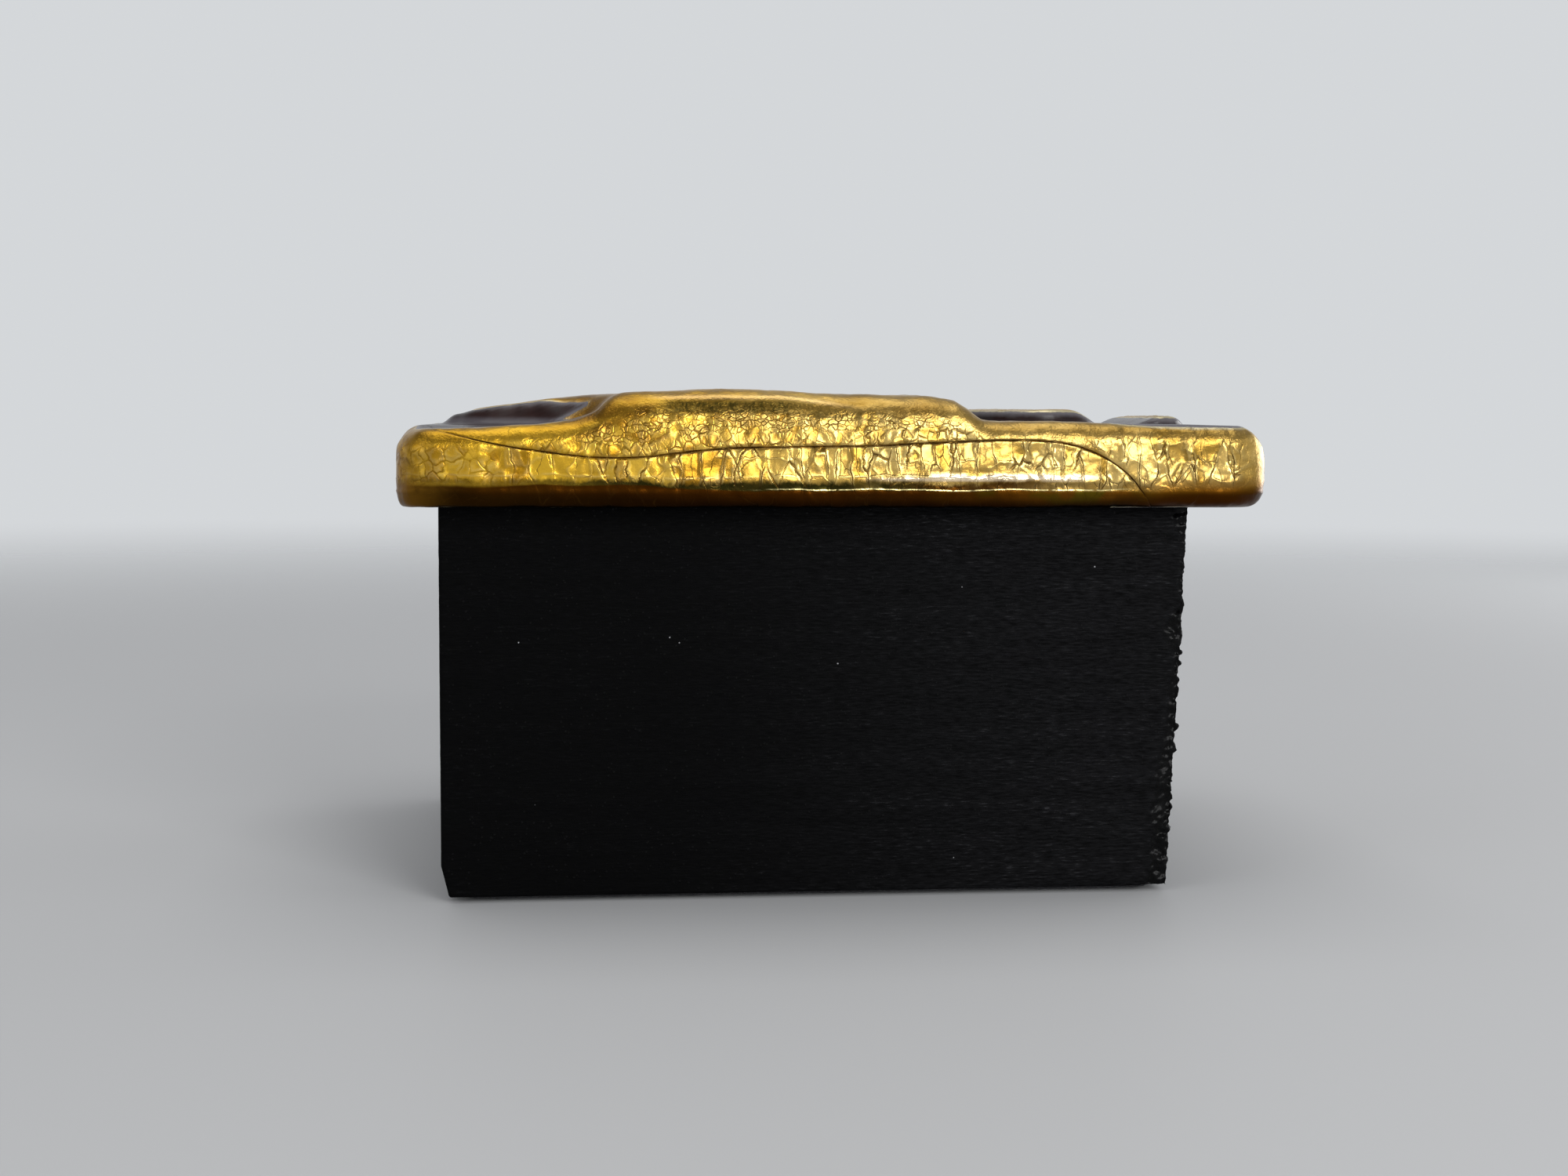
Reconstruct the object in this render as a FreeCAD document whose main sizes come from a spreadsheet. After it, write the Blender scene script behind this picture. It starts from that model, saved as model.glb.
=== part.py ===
"""Jewellery box: a hollowed wooden block with a lift-off ceramic lid.

Millimetres. +Z is up and the origin is the middle of the underside. The front
of the box faces -Y, and the clean sawn end is on the left, at -X.
"""
import math
import os

import FreeCAD
import Part
import Sketcher

Vector = FreeCAD.Vector

# Driving sizes. Every piece below takes its size and place from these cells.
SIZES = [
    # The wooden block
    ("block_length", 126.6, "along the top edge of the front"),
    ("block_depth", 100.0, "front to back"),
    ("block_height", 65.5, "without the felt under it"),
    ("end_lean", 2.6, "how far the torn right end draws in at its foot"),
    ("foot_chamfer_width", 1.3, "clean left end, lower corner"),
    ("foot_chamfer_height", 5.3, "clean left end, lower corner"),
    # The hollow
    ("wall_thickness", 12.0, "wood left round the hollow"),
    ("cavity_depth", 53.0, "from the rim down to the wooden floor"),
    ("cavity_corner", 8.0, "radius of the hollow's upright corners"),
    # The felts
    ("sole_thickness", 1.0, "felt under the block"),
    ("sole_inset", 2.6, "felt edge behind the block's edge"),
    ("lining_thickness", 1.0, "felt in the hollow"),
    ("lining_drop", 2.0, "lining's top edge below the rim"),
    # The ceramic lid
    ("lid_length", 145.0, "left to right"),
    ("lid_depth", 117.0, "front to back"),
    ("lid_shift", 2.4, "lid's middle, to the right of the block's middle"),
    ("slab_thickness", 13.2, "flat part of the slab"),
    ("slab_corner", 7.0, "radius of the slab's corners in plan"),
    ("slab_shoulder", 3.4, "radius of the slab's upper edge"),
    ("slab_underedge", 2.2, "radius of the slab's lower edge"),
    # The relief on the lid
    ("hump_rise", 6.1, "front hump above the slab"),
    ("ridge_rise", 5.3, "left ridge above the slab"),
    ("plate_edge", 1.1, "rounding of a plate's upper edge"),
    ("right_plate_rise", 3.0, "plate above the slab"),
    ("low_plate_rise", 2.0, "plate above the slab"),
    ("middle_plate_rise", 4.6, "plate above the slab"),
    ("back_left_plate_rise", 1.9, "plate above the slab"),
    ("corner_plate_rise", 1.7, "plate above the slab"),
    ("back_plate_rise", 4.0, "plate above the slab"),
    ("back_right_plate_rise", 2.3, "plate above the slab"),
    ("bead_plate_rise", 2.6, "plate above the slab"),
    # The wooden board under the lid, which drops into the hollow
    ("board_thickness", 7.0, "locating board"),
    ("board_clearance", 1.2, "between the board and the lining, all round"),
    ("pad_thickness", 0.8, "adhesive between the ceramic and the board"),
    ("pad_radius", 9.0, "adhesive disc"),
    ("pad_inset", 18.0, "disc's middle in from the board's edges"),
]

# Outlines in plan, as shares of the lid's half length and half depth from its middle.
HUMP_OUTLINE = [
    (-0.83, -1.09), (-0.73, -0.97), (-0.62, -0.93), (-0.57, -0.87), (-0.52, -0.74), (-0.28, -0.62),
    (0.06, -0.56), (0.28, -0.65), (0.34, -0.79), (0.46, -0.87), (0.62, -0.92), (0.72, -1.09),
]
RIDGE_OUTLINE = [
    (-0.91, -0.56), (-0.80, -0.71), (-0.66, -0.74), (-0.52, -0.80), (-0.28, -0.82), (-0.06, -0.68),
    (-0.03, -0.53), (-0.19, -0.41), (-0.36, -0.26), (-0.55, -0.12), (-0.76, -0.09), (-0.90, -0.26),
]
PLATE_OUTLINES = {
    "right_plate": [
        (0.40, -0.64), (0.54, -0.71), (0.65, -0.63), (0.68, -0.45), (0.62, -0.27), (0.50, -0.17),
        (0.37, -0.23), (0.33, -0.43),
    ],
    "low_plate": [
        (0.76, -0.67), (0.84, -0.66), (0.90, -0.52), (0.90, -0.30), (0.85, -0.16), (0.77, -0.16),
        (0.735, -0.28), (0.745, -0.42), (0.725, -0.57),
    ],
    "middle_plate": [
        (-0.11, -0.34), (0.05, -0.43), (0.18, -0.40), (0.26, -0.24), (0.36, -0.08), (0.41, 0.10),
        (0.30, 0.27), (0.07, 0.32), (-0.13, 0.25), (-0.22, 0.04), (-0.21, -0.19),
    ],
    "back_left_plate": [
        (-0.88, 0.08), (-0.72, 0.02), (-0.53, -0.01), (-0.38, -0.06), (-0.295, 0.04), (-0.32, 0.28),
        (-0.46, 0.49), (-0.64, 0.60), (-0.84, 0.57), (-0.92, 0.32),
    ],
    "corner_plate": [
        (-0.80, 0.72), (-0.66, 0.72), (-0.52, 0.63), (-0.40, 0.54), (-0.28, 0.60), (-0.25, 0.77),
        (-0.36, 0.90), (-0.61, 0.92), (-0.82, 0.91), (-0.88, 0.81),
    ],
    "back_plate": [
        (-0.10, 0.43), (0.04, 0.46), (0.16, 0.45), (0.25, 0.54), (0.27, 0.73), (0.18, 0.89),
        (-0.03, 0.91), (-0.15, 0.80), (-0.185, 0.63), (-0.17, 0.49),
    ],
    "back_right_plate": [
        (0.41, 0.30), (0.54, 0.18), (0.70, 0.15), (0.85, 0.23), (0.91, 0.46), (0.89, 0.74),
        (0.76, 0.89), (0.54, 0.90), (0.39, 0.81), (0.365, 0.56),
    ],
    "bead_plate": [
        (0.54, 0.00), (0.60, -0.07), (0.69, -0.06), (0.75, 0.00), (0.71, 0.06), (0.61, 0.07),
    ],
}

# Heights along the front, as (share of the half length, share of the rise above the slab).
HUMP_CREST = [
    (-1.10, -0.60), (-0.75, 0.00), (-0.66, 0.08), (-0.61, 0.18), (-0.575, 0.38), (-0.55, 0.66),
    (-0.52, 0.84), (-0.43, 0.92), (-0.29, 1.00), (-0.11, 0.94), (0.04, 0.87), (0.17, 0.87),
    (0.235, 0.82), (0.28, 0.62), (0.32, 0.32), (0.37, 0.18), (0.47, 0.17), (0.60, 0.13),
    (0.70, 0.00), (1.10, -0.60),
]
RIDGE_CREST = [
    (-1.10, -0.90), (-0.90, 0.02), (-0.86, 0.36), (-0.79, 0.58), (-0.70, 0.76), (-0.60, 0.93),
    (-0.50, 1.00), (-0.30, 1.00), (-0.10, 0.95), (0.05, 0.85), (1.10, 0.30),
]
# The joint between the two clay slabs, as (share of the half length, share of the thickness).
SEAM = [
    (-0.99, 1.35), (-0.96, 1.06), (-0.85, 0.87), (-0.69, 0.70), (-0.49, 0.61), (-0.26, 0.73), (0.07, 0.77),
    (0.38, 0.845), (0.54, 0.775), (0.65, 0.47), (0.72, 0.02), (0.76, -0.30),
]

# How far a helper solid reaches past what it trims.
REACH = 10.0
# How close an edge has to lie to a height to be picked.
NEAR = 0.001

document = FreeCAD.newDocument("JewelleryBox")
sheet = document.addObject("Spreadsheet::Sheet", "Sizes")
for row, (alias, value, note) in enumerate(SIZES, start=1):
    sheet.set(f"A{row}", alias)
    sheet.set(f"B{row}", str(value))
    sheet.set(f"C{row}", note)
    sheet.setAlias(f"B{row}", alias)
document.recompute()

# Places worked out from the sizes, as expressions on the same cells.
CAVITY_LENGTH = "(Sizes.block_length - 2 * Sizes.wall_thickness)"
CAVITY_WIDTH = "(Sizes.block_depth - 2 * Sizes.wall_thickness)"
INNER_LENGTH = f"({CAVITY_LENGTH} - 2 * Sizes.lining_thickness)"
INNER_WIDTH = f"({CAVITY_WIDTH} - 2 * Sizes.lining_thickness)"
INNER_CORNER = "(Sizes.cavity_corner - Sizes.lining_thickness)"
BOARD_LENGTH = f"({INNER_LENGTH} - 2 * Sizes.board_clearance)"
BOARD_WIDTH = f"({INNER_WIDTH} - 2 * Sizes.board_clearance)"
BOARD_CORNER = f"({INNER_CORNER} - Sizes.board_clearance)"
RIM = "(Sizes.block_height + Sizes.sole_thickness)"
CAVITY_FLOOR = f"({RIM} - Sizes.cavity_depth)"
BOARD_TOP = f"({RIM} - Sizes.pad_thickness)"
BOARD_BOTTOM = f"({BOARD_TOP} - Sizes.board_thickness)"


def size(expression):
    """Return the present value of an expression on the sheet's cells."""
    return float(sheet.evalExpression(expression))


def origin_plane(body, role):
    """Return the body's own origin plane with the given role."""
    return next(item for item in body.Origin.OriginFeatures if item.Role == role)


def new_body(label, lift):
    """Start a body whose base lies at the height that the expression gives."""
    body = document.addObject("PartDesign::Body", label)
    body.Label = label
    body.setExpression("Placement.Base.z", lift)
    return body


def plane_sketch(body, name, role, height=None):
    """Attach a new sketch to an origin plane, raised by an expression."""
    sketch = body.newObject("Sketcher::SketchObject", name)
    sketch.AttachmentSupport = [(origin_plane(body, role), "")]
    sketch.MapMode = "FlatFace"
    if height:
        sketch.setExpression("AttachmentOffset.Base.z", height)
    return sketch


def bind(sketch, name, constraint, expression):
    """Add a named dimension whose value is an expression."""
    index = sketch.addConstraint(constraint)
    sketch.renameConstraint(index, name)
    sketch.setExpression(f"Constraints.{name}", expression)


def rounded_rectangle(sketch, tag, length, width, corner):
    """Draw a rectangle with round corners, centred on the sketch's origin."""
    half_x = size(length) / 2
    half_y = size(width) / 2
    radius = size(corner)
    inner_x = half_x - radius
    inner_y = half_y - radius
    runs = [
        ((-inner_x, -half_y), (inner_x, -half_y)),
        ((half_x, -inner_y), (half_x, inner_y)),
        ((inner_x, half_y), (-inner_x, half_y)),
        ((-half_x, inner_y), (-half_x, -inner_y)),
    ]
    centres = [(inner_x, -inner_y), (inner_x, inner_y), (-inner_x, inner_y), (-inner_x, -inner_y)]
    quarter = math.pi / 2
    first = sketch.GeometryCount
    for turn, (run, centre) in enumerate(zip(runs, centres)):
        start = Vector(*run[0], 0)
        end = Vector(*run[1], 0)
        sketch.addGeometry(Part.LineSegment(start, end))
        circle = Part.Circle(Vector(*centre, 0), Vector(0, 0, 1), radius)
        sketch.addGeometry(Part.ArcOfCircle(circle, (turn - 1) * quarter, turn * quarter))
    for step in range(8):
        following = (step + 1) % 8
        sketch.addConstraint(Sketcher.Constraint("Tangent", first + step, 2, first + following, 1))
    for line in (0, 4):
        sketch.addConstraint(Sketcher.Constraint("Horizontal", first + line))
    for line in (2, 6):
        sketch.addConstraint(Sketcher.Constraint("Vertical", first + line))
    for arc in (3, 5, 7):
        sketch.addConstraint(Sketcher.Constraint("Equal", first + 1, first + arc))
    sketch.addConstraint(Sketcher.Constraint("Symmetric", first + 3, 3, first + 7, 3, -1, 1))
    across = Sketcher.Constraint("DistanceX", first + 6, 1, first + 2, 1, 2 * half_x)
    bind(sketch, tag + "Length", across, length)
    along = Sketcher.Constraint("DistanceY", first, 1, first + 4, 1, 2 * half_y)
    bind(sketch, tag + "Width", along, width)
    rounding = Sketcher.Constraint("Radius", first + 1, radius)
    bind(sketch, tag + "Corner", rounding, corner)


def rounded_slab(label, lift, length, width, corner, thickness):
    """Pad a round-cornered rectangle upwards and return its body."""
    body = new_body(label, lift)
    sketch = plane_sketch(body, label + "_plan", "XY_Plane")
    rounded_rectangle(sketch, "Plan", length, width, corner)
    pad = body.newObject("PartDesign::Pad", label + "_pad")
    pad.Profile = sketch
    pad.setExpression("Length", thickness)
    sketch.Visibility = False
    return body


def round_edges(body, name, height, radius):
    """Round the body's edges that lie level at a height."""
    document.recompute()
    blank = body.Tip
    names = []
    for index, edge in enumerate(blank.Shape.Edges, start=1):
        box = edge.BoundBox
        if abs(box.ZMin - height) < NEAR and abs(box.ZMax - height) < NEAR:
            names.append(f"Edge{index}")
    fillet = body.newObject("PartDesign::Fillet", name)
    fillet.Base = (blank, names)
    fillet.setExpression("Radius", radius)


def cut(label, base, tool):
    """Return the base with the tool taken away."""
    feature = document.addObject("Part::Cut", label)
    feature.Label = label
    feature.Base = base
    feature.Tool = tool
    return feature


def common(label, base, tool):
    """Return what the base and the tool share."""
    feature = document.addObject("Part::Common", label)
    feature.Label = label
    feature.Base = base
    feature.Tool = tool
    return feature


# The wooden block
def build_block():
    """Return the block with its hollow, its torn end drawn in and one chamfered foot."""
    body = new_body("base_block", "Sizes.sole_thickness")
    front = plane_sketch(body, "block_front", "XZ_Plane")
    half = size("Sizes.block_length") / 2
    height = size("Sizes.block_height")
    lean = size("Sizes.end_lean")
    foot_x = size("Sizes.foot_chamfer_width")
    foot_z = size("Sizes.foot_chamfer_height")
    corners = [(foot_x - half, 0), (half - lean, 0), (half, height), (-half, height), (-half, foot_z)]
    for index, corner in enumerate(corners):
        following = corners[(index + 1) % len(corners)]
        front.addGeometry(Part.LineSegment(Vector(*corner, 0), Vector(*following, 0)))
    for index in range(len(corners)):
        following = (index + 1) % len(corners)
        front.addConstraint(Sketcher.Constraint("Coincident", index, 2, following, 1))
    front.addConstraint(Sketcher.Constraint("PointOnObject", 0, 1, -1))
    front.addConstraint(Sketcher.Constraint("Horizontal", 0))
    front.addConstraint(Sketcher.Constraint("Vertical", 3))
    front.addConstraint(Sketcher.Constraint("Symmetric", 2, 1, 2, 2, -2))
    bind(front, "Length", Sketcher.Constraint("DistanceX", 2, 2, 2, 1, 2 * half), "Sizes.block_length")
    bind(front, "Height", Sketcher.Constraint("DistanceY", 1, 1, 1, 2, height), "Sizes.block_height")
    bind(front, "Lean", Sketcher.Constraint("DistanceX", 1, 1, 1, 2, lean), "Sizes.end_lean")
    foot_across = Sketcher.Constraint("DistanceX", 4, 1, 4, 2, foot_x)
    bind(front, "FootAcross", foot_across, "Sizes.foot_chamfer_width")
    foot_up = Sketcher.Constraint("DistanceY", 4, 2, 4, 1, foot_z)
    bind(front, "FootUp", foot_up, "Sizes.foot_chamfer_height")
    pad = body.newObject("PartDesign::Pad", "block_pad")
    pad.Profile = front
    pad.Midplane = True
    pad.setExpression("Length", "Sizes.block_depth")
    document.recompute()
    solid_volume = pad.Shape.Volume
    mouth = plane_sketch(body, "cavity_mouth", "XY_Plane", "Sizes.block_height")
    rounded_rectangle(mouth, "Mouth", CAVITY_LENGTH, CAVITY_WIDTH, "Sizes.cavity_corner")
    pocket = body.newObject("PartDesign::Pocket", "cavity")
    pocket.Profile = mouth
    pocket.setExpression("Length", "Sizes.cavity_depth")
    document.recompute()
    if pocket.Shape.Volume >= solid_volume:
        raise RuntimeError("the hollow cut nothing out of the block")
    return body


# The felts
def build_sole():
    """Return the felt sheet glued under the block."""
    length = "(Sizes.block_length - Sizes.end_lean - Sizes.foot_chamfer_width - 2 * Sizes.sole_inset)"
    width = "(Sizes.block_depth - 2 * Sizes.sole_inset)"
    body = rounded_slab("sole_felt", "0", length, width, "Sizes.sole_inset", "Sizes.sole_thickness")
    body.setExpression("Placement.Base.x", "(Sizes.foot_chamfer_width - Sizes.end_lean) / 2")
    return body


def build_lining():
    """Return the hollow's floor felt and the two strips of felt round its walls."""
    thickness = "Sizes.lining_thickness"
    floor = rounded_slab("cavity_floor_felt", CAVITY_FLOOR, CAVITY_LENGTH, CAVITY_WIDTH,
                         "Sizes.cavity_corner", thickness)
    foot = f"({CAVITY_FLOOR} + Sizes.lining_thickness)"
    rise = "(Sizes.cavity_depth - Sizes.lining_thickness - Sizes.lining_drop)"
    outer = rounded_slab("lining_outer", foot, CAVITY_LENGTH, CAVITY_WIDTH, "Sizes.cavity_corner", rise)
    inner = rounded_slab("lining_inner", foot, INNER_LENGTH, INNER_WIDTH, INNER_CORNER, rise)
    ring = cut("lining_ring", outer, inner)
    strips = []
    for label, side in (("front_wall_felt", -1), ("back_wall_felt", 1)):
        half = document.addObject("Part::Box", label + "_half")
        half.setExpression("Length", CAVITY_LENGTH)
        half.setExpression("Width", f"{CAVITY_WIDTH} / 2")
        half.setExpression("Height", rise)
        half.setExpression("Placement.Base.x", f"-{CAVITY_LENGTH} / 2")
        half.setExpression("Placement.Base.y", f"({side} - 1) * {CAVITY_WIDTH} / 4")
        half.setExpression("Placement.Base.z", foot)
        strips.append(common(label, ring, half))
    return [floor] + strips


# The ceramic lid
def plan_point(share):
    """Return the place in plan of a point given as shares of the lid's half sizes."""
    across = size("Sizes.lid_shift") + share[0] * size("Sizes.lid_length") / 2
    return Vector(across, share[1] * size("Sizes.lid_depth") / 2, 0)


def closed_outline(shares):
    """Return the face inside a smooth closed curve through the points."""
    curve = Part.BSplineCurve()
    curve.interpolate(Points=[plan_point(share) for share in shares], PeriodicFlag=True)
    return Part.Face(Part.Wire(curve.toShape()))


def below_curve(points, floor):
    """Return the solid under an open curve along X, as deep as the lid and more."""
    curve = Part.BSplineCurve()
    reach_y = size("Sizes.lid_depth") / 2 + REACH
    places = [Vector(x, -reach_y, z) for x, z in points]
    curve.interpolate(Points=places)
    first = places[0]
    last = places[-1]
    corners = [last, Vector(last.x, last.y, floor), Vector(first.x, first.y, floor), first]
    lines = [Part.makeLine(start, end) for start, end in zip(corners, corners[1:])]
    profile = Part.Face(Part.Wire([curve.toShape()] + lines))
    return profile.extrude(Vector(0, 2 * reach_y, 0))


def crest_points(crest, rise):
    """Return a crest's places along X and their heights over the table."""
    slab_top = size(RIM) + size("Sizes.slab_thickness")
    return [(plan_point((x, 0)).x, slab_top + share * rise) for x, share in crest]


def raised_form(label, outline, crest, rise, limit):
    """Return a clay form with the given plan and crest, trimmed to the lid's outline."""
    slab_top = size(RIM) + size("Sizes.slab_thickness")
    root = size(RIM) + size("Sizes.slab_underedge")
    top = slab_top + rise + REACH
    prism = closed_outline(outline).extrude(Vector(0, 0, top - root))
    prism.translate(Vector(0, 0, root))
    shape = prism.common(below_curve(crest_points(crest, rise), root - REACH)).common(limit)
    feature = document.addObject("Part::Feature", label)
    feature.Shape = shape.Solids[0]
    return feature


def build_lid_slabs():
    """Return the two luted clay slabs: the lower one and the upper one with its hump and ridge."""
    slab = rounded_slab("lid_blank", RIM, "Sizes.lid_length", "Sizes.lid_depth",
                        "Sizes.slab_corner", "Sizes.slab_thickness")
    slab.setExpression("Placement.Base.x", "Sizes.lid_shift")
    round_edges(slab, "slab_shoulder", size("Sizes.slab_thickness"), "Sizes.slab_shoulder")
    round_edges(slab, "slab_underedge", 0, "Sizes.slab_underedge")
    limit_body = rounded_slab("lid_limit", RIM, "Sizes.lid_length", "Sizes.lid_depth",
                              "Sizes.slab_corner", "Sizes.slab_thickness + Sizes.hump_rise + Sizes.ridge_rise")
    limit_body.setExpression("Placement.Base.x", "Sizes.lid_shift")
    document.recompute()
    limit = limit_body.Shape
    hump = raised_form("hump", HUMP_OUTLINE, HUMP_CREST, size("Sizes.hump_rise"), limit)
    ridge = raised_form("ridge", RIDGE_OUTLINE, RIDGE_CREST, size("Sizes.ridge_rise"), limit)
    blank = document.addObject("Part::MultiFuse", "lid_form")
    blank.Shapes = [slab, hump, ridge]
    joint = document.addObject("Part::Feature", "seam_solid")
    thickness = size("Sizes.slab_thickness")
    rim = size(RIM)
    seam = [(plan_point((x, 0)).x, rim + share * thickness) for x, share in SEAM]
    left_end = plan_point((-1, 0)).x - REACH
    seam.insert(0, (left_end, seam[0][1] + REACH))
    joint.Shape = below_curve(seam, rim - 2 * REACH)
    lower = common("lid_lower_slab", blank, joint)
    upper = cut("lid_upper_slab", blank, joint)
    return [lower, upper]


def build_plate(name, outline):
    """Return one clay plate luted on top of the slab, its upper edge rounded."""
    rise = size(f"Sizes.{name}_rise")
    prism = closed_outline(outline).extrude(Vector(0, 0, rise))
    top_edges = [edge for edge in prism.Edges if edge.BoundBox.ZMin > rise - NEAR]
    shape = prism.makeFillet(min(size("Sizes.plate_edge"), rise / 2), top_edges)
    plate = document.addObject("Part::Feature", name)
    plate.Label = name
    plate.Shape = shape
    plate.Placement.Base = Vector(0, 0, size(RIM) + size("Sizes.slab_thickness"))
    return plate


# The board under the lid
def build_board():
    """Return the locating board, its felt face and the adhesive discs that hold it."""
    board = rounded_slab("locating_board", BOARD_BOTTOM, BOARD_LENGTH, BOARD_WIDTH, BOARD_CORNER,
                         "Sizes.board_thickness")
    face = rounded_slab("board_felt", f"({BOARD_BOTTOM} - Sizes.lining_thickness)", BOARD_LENGTH,
                        BOARD_WIDTH, BOARD_CORNER, "Sizes.lining_thickness")
    discs = []
    for side in (-1, 1):
        for end in (-1, 1):
            disc = document.addObject("Part::Cylinder", "adhesive_disc")
            disc.setExpression("Radius", "Sizes.pad_radius")
            disc.setExpression("Height", "Sizes.pad_thickness")
            disc.setExpression("Placement.Base.x", f"{side} * ({BOARD_LENGTH} / 2 - Sizes.pad_inset)")
            disc.setExpression("Placement.Base.y", f"{end} * ({BOARD_WIDTH} / 2 - Sizes.pad_inset)")
            disc.setExpression("Placement.Base.z", BOARD_TOP)
            discs.append(disc)
    pads = document.addObject("Part::Compound", "adhesive_pads")
    pads.Label = "adhesive_pads"
    pads.Links = discs
    return [board, face, pads]


def check_document():
    """Stop if any object failed to build."""
    document.recompute()
    for item in document.Objects:
        if "Invalid" in item.State or "Error" in item.State:
            raise RuntimeError(f"{item.Name} did not build: {item.State}")


def write_parts(pieces):
    """Write one file for each piece, named after its label."""
    os.makedirs("parts", exist_ok=True)
    for piece in pieces:
        if piece.Shape.isNull() or not piece.Shape.isValid() or not piece.Shape.Solids:
            raise RuntimeError(f"{piece.Label} has no sound solid")
    for piece in pieces:
        piece.Shape.exportStep(f"parts/{piece.Label}.step")
        solids = len(piece.Shape.Solids)
        print(f"{piece.Label}: {solids} solid(s), {piece.Shape.Volume / 1000:.2f} cm3")


pieces = [build_block(), build_sole()]
pieces += build_lining()
pieces += build_lid_slabs()
pieces += [build_plate(name, outline) for name, outline in PLATE_OUTLINES.items()]
pieces += build_board()
check_document()
write_parts(pieces)
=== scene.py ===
"""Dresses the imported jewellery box: glazed ceramic lid, painted block, felts and board.

Lengths are in millimetres until a mesh is made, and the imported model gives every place.
"""

import itertools
import logging
import math
from collections.abc import Sequence
from dataclasses import dataclass, field
from enum import Enum

import bmesh
import bpy
import numpy as np
from mathutils import Matrix, Vector
from mathutils.bvhtree import BVHTree

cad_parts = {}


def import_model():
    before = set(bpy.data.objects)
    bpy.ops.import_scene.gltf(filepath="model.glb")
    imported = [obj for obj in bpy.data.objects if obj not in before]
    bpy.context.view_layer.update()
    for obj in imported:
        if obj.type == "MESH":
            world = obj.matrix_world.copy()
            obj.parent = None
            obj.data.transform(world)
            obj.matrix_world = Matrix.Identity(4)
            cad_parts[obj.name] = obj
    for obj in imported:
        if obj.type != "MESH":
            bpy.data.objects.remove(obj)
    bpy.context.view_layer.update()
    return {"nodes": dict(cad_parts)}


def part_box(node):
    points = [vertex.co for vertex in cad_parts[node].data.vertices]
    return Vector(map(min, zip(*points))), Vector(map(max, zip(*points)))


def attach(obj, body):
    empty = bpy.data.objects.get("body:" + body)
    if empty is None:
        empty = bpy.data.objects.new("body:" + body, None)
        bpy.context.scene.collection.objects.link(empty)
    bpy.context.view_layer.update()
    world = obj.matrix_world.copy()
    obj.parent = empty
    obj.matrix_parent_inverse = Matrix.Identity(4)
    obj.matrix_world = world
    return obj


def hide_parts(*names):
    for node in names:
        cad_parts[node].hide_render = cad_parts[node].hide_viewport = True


LOG = logging.getLogger("jewellery_box")
MM = 0.001
Array = np.ndarray
Socket = bpy.types.NodeSocket
# Spacing of the lid's height maps, and the height above everything that rays are cast down from.
GRID_STEP = 0.5
OVERHEAD = 200.0
# A height over the joint and over the amber band that is out of reach of both, for the plates.
OUT_OF_REACH = 50.0


# Numbers and noise
def smooth_step(low: float, high: float, value: Array) -> Array:
    """Return 0 below low, 1 above high and a soft rise between them."""
    share = np.clip((value - low) / (high - low), 0.0, 1.0)
    return share * share * (3.0 - 2.0 * share)


def window(value: Array, start: float, full: float, fading: float, end: float) -> Array:
    """Return 1 from full to fading and 0 outside start and end, with soft slopes."""
    return smooth_step(start, full, value) * smooth_step(end, fading, value)


def bell(value: Array, spread: float) -> Array:
    """Return 1 at zero, falling softly to both sides."""
    return np.exp(-((value / spread) ** 2))


def box_of(node: str) -> tuple[Array, Array]:
    """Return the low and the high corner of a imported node's box, in millimetres."""
    low, high = (np.array(corner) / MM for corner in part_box(node))
    return low, high


class ClayNoise:
    """Soft seeded unevenness over points in millimetres."""

    SIDE = 48

    def __init__(self, seed: int) -> None:
        """Draw the lattice of values.

        Args:
            seed: start of the random draw.
        """
        self.table = np.random.default_rng(seed).uniform(-1.0, 1.0, (self.SIDE,) * 3)

    def at(self, points: Array, grain: float | Sequence[float]) -> Array:
        """Return one layer of noise.

        Args:
            points: places, one row each.
            grain: size of a lump, or its size along each axis.

        Returns:
            Values from -1 to 1.
        """
        cell = points / np.asarray(grain, float)
        low = np.floor(cell).astype(int)
        part = cell - low
        part = part * part * (3.0 - 2.0 * part)
        total = np.zeros(len(points))
        for corner in itertools.product((0, 1), repeat=3):
            place = (low + corner) % self.SIDE
            weight = np.prod(np.where(corner, part, 1.0 - part), axis=1)
            total += weight * self.table[place[:, 0], place[:, 1], place[:, 2]]
        return total

    def layered(self, points: Array, grain: float | Sequence[float], layers: int = 3) -> Array:
        """Return layers of noise, each half the size and half the height of the last."""
        grain = np.asarray(grain, float)
        return sum(self.at(points + 17.0 * k, grain / 2**k) / 2**k for k in range(layers))


# Meshes
def new_object(name: str, data: bpy.types.ID) -> bpy.types.Object:
    """Make an object of a mesh, a lamp or a camera, and link it to the scene."""
    made = bpy.data.objects.new(name, data)
    bpy.context.scene.collection.objects.link(made)
    return made


def new_piece(name: str, points: Array, faces: Sequence[Sequence[int]]) -> bpy.types.Object:
    """Make a smooth-shaded mesh object.

    Args:
        name: the piece's name.
        points: corners in millimetres.
        faces: corner numbers of each face.

    Returns:
        The linked object.
    """
    mesh = bpy.data.meshes.new(name)
    mesh.from_pydata((np.asarray(points) * MM).tolist(), [], faces)
    mesh.update()
    mesh.shade_smooth()
    return new_object(name, mesh)


def mesh_points(mesh: bpy.types.Mesh) -> Array:
    """Return a mesh's corners in millimetres."""
    flat = np.zeros(len(mesh.vertices) * 3)
    mesh.vertices.foreach_get("co", flat)
    return flat.reshape(-1, 3) / MM


def move_points(mesh: bpy.types.Mesh, points: Array) -> None:
    """Put a mesh's corners at the given places in millimetres."""
    mesh.vertices.foreach_set("co", (points * MM).ravel())
    mesh.update()


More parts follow.
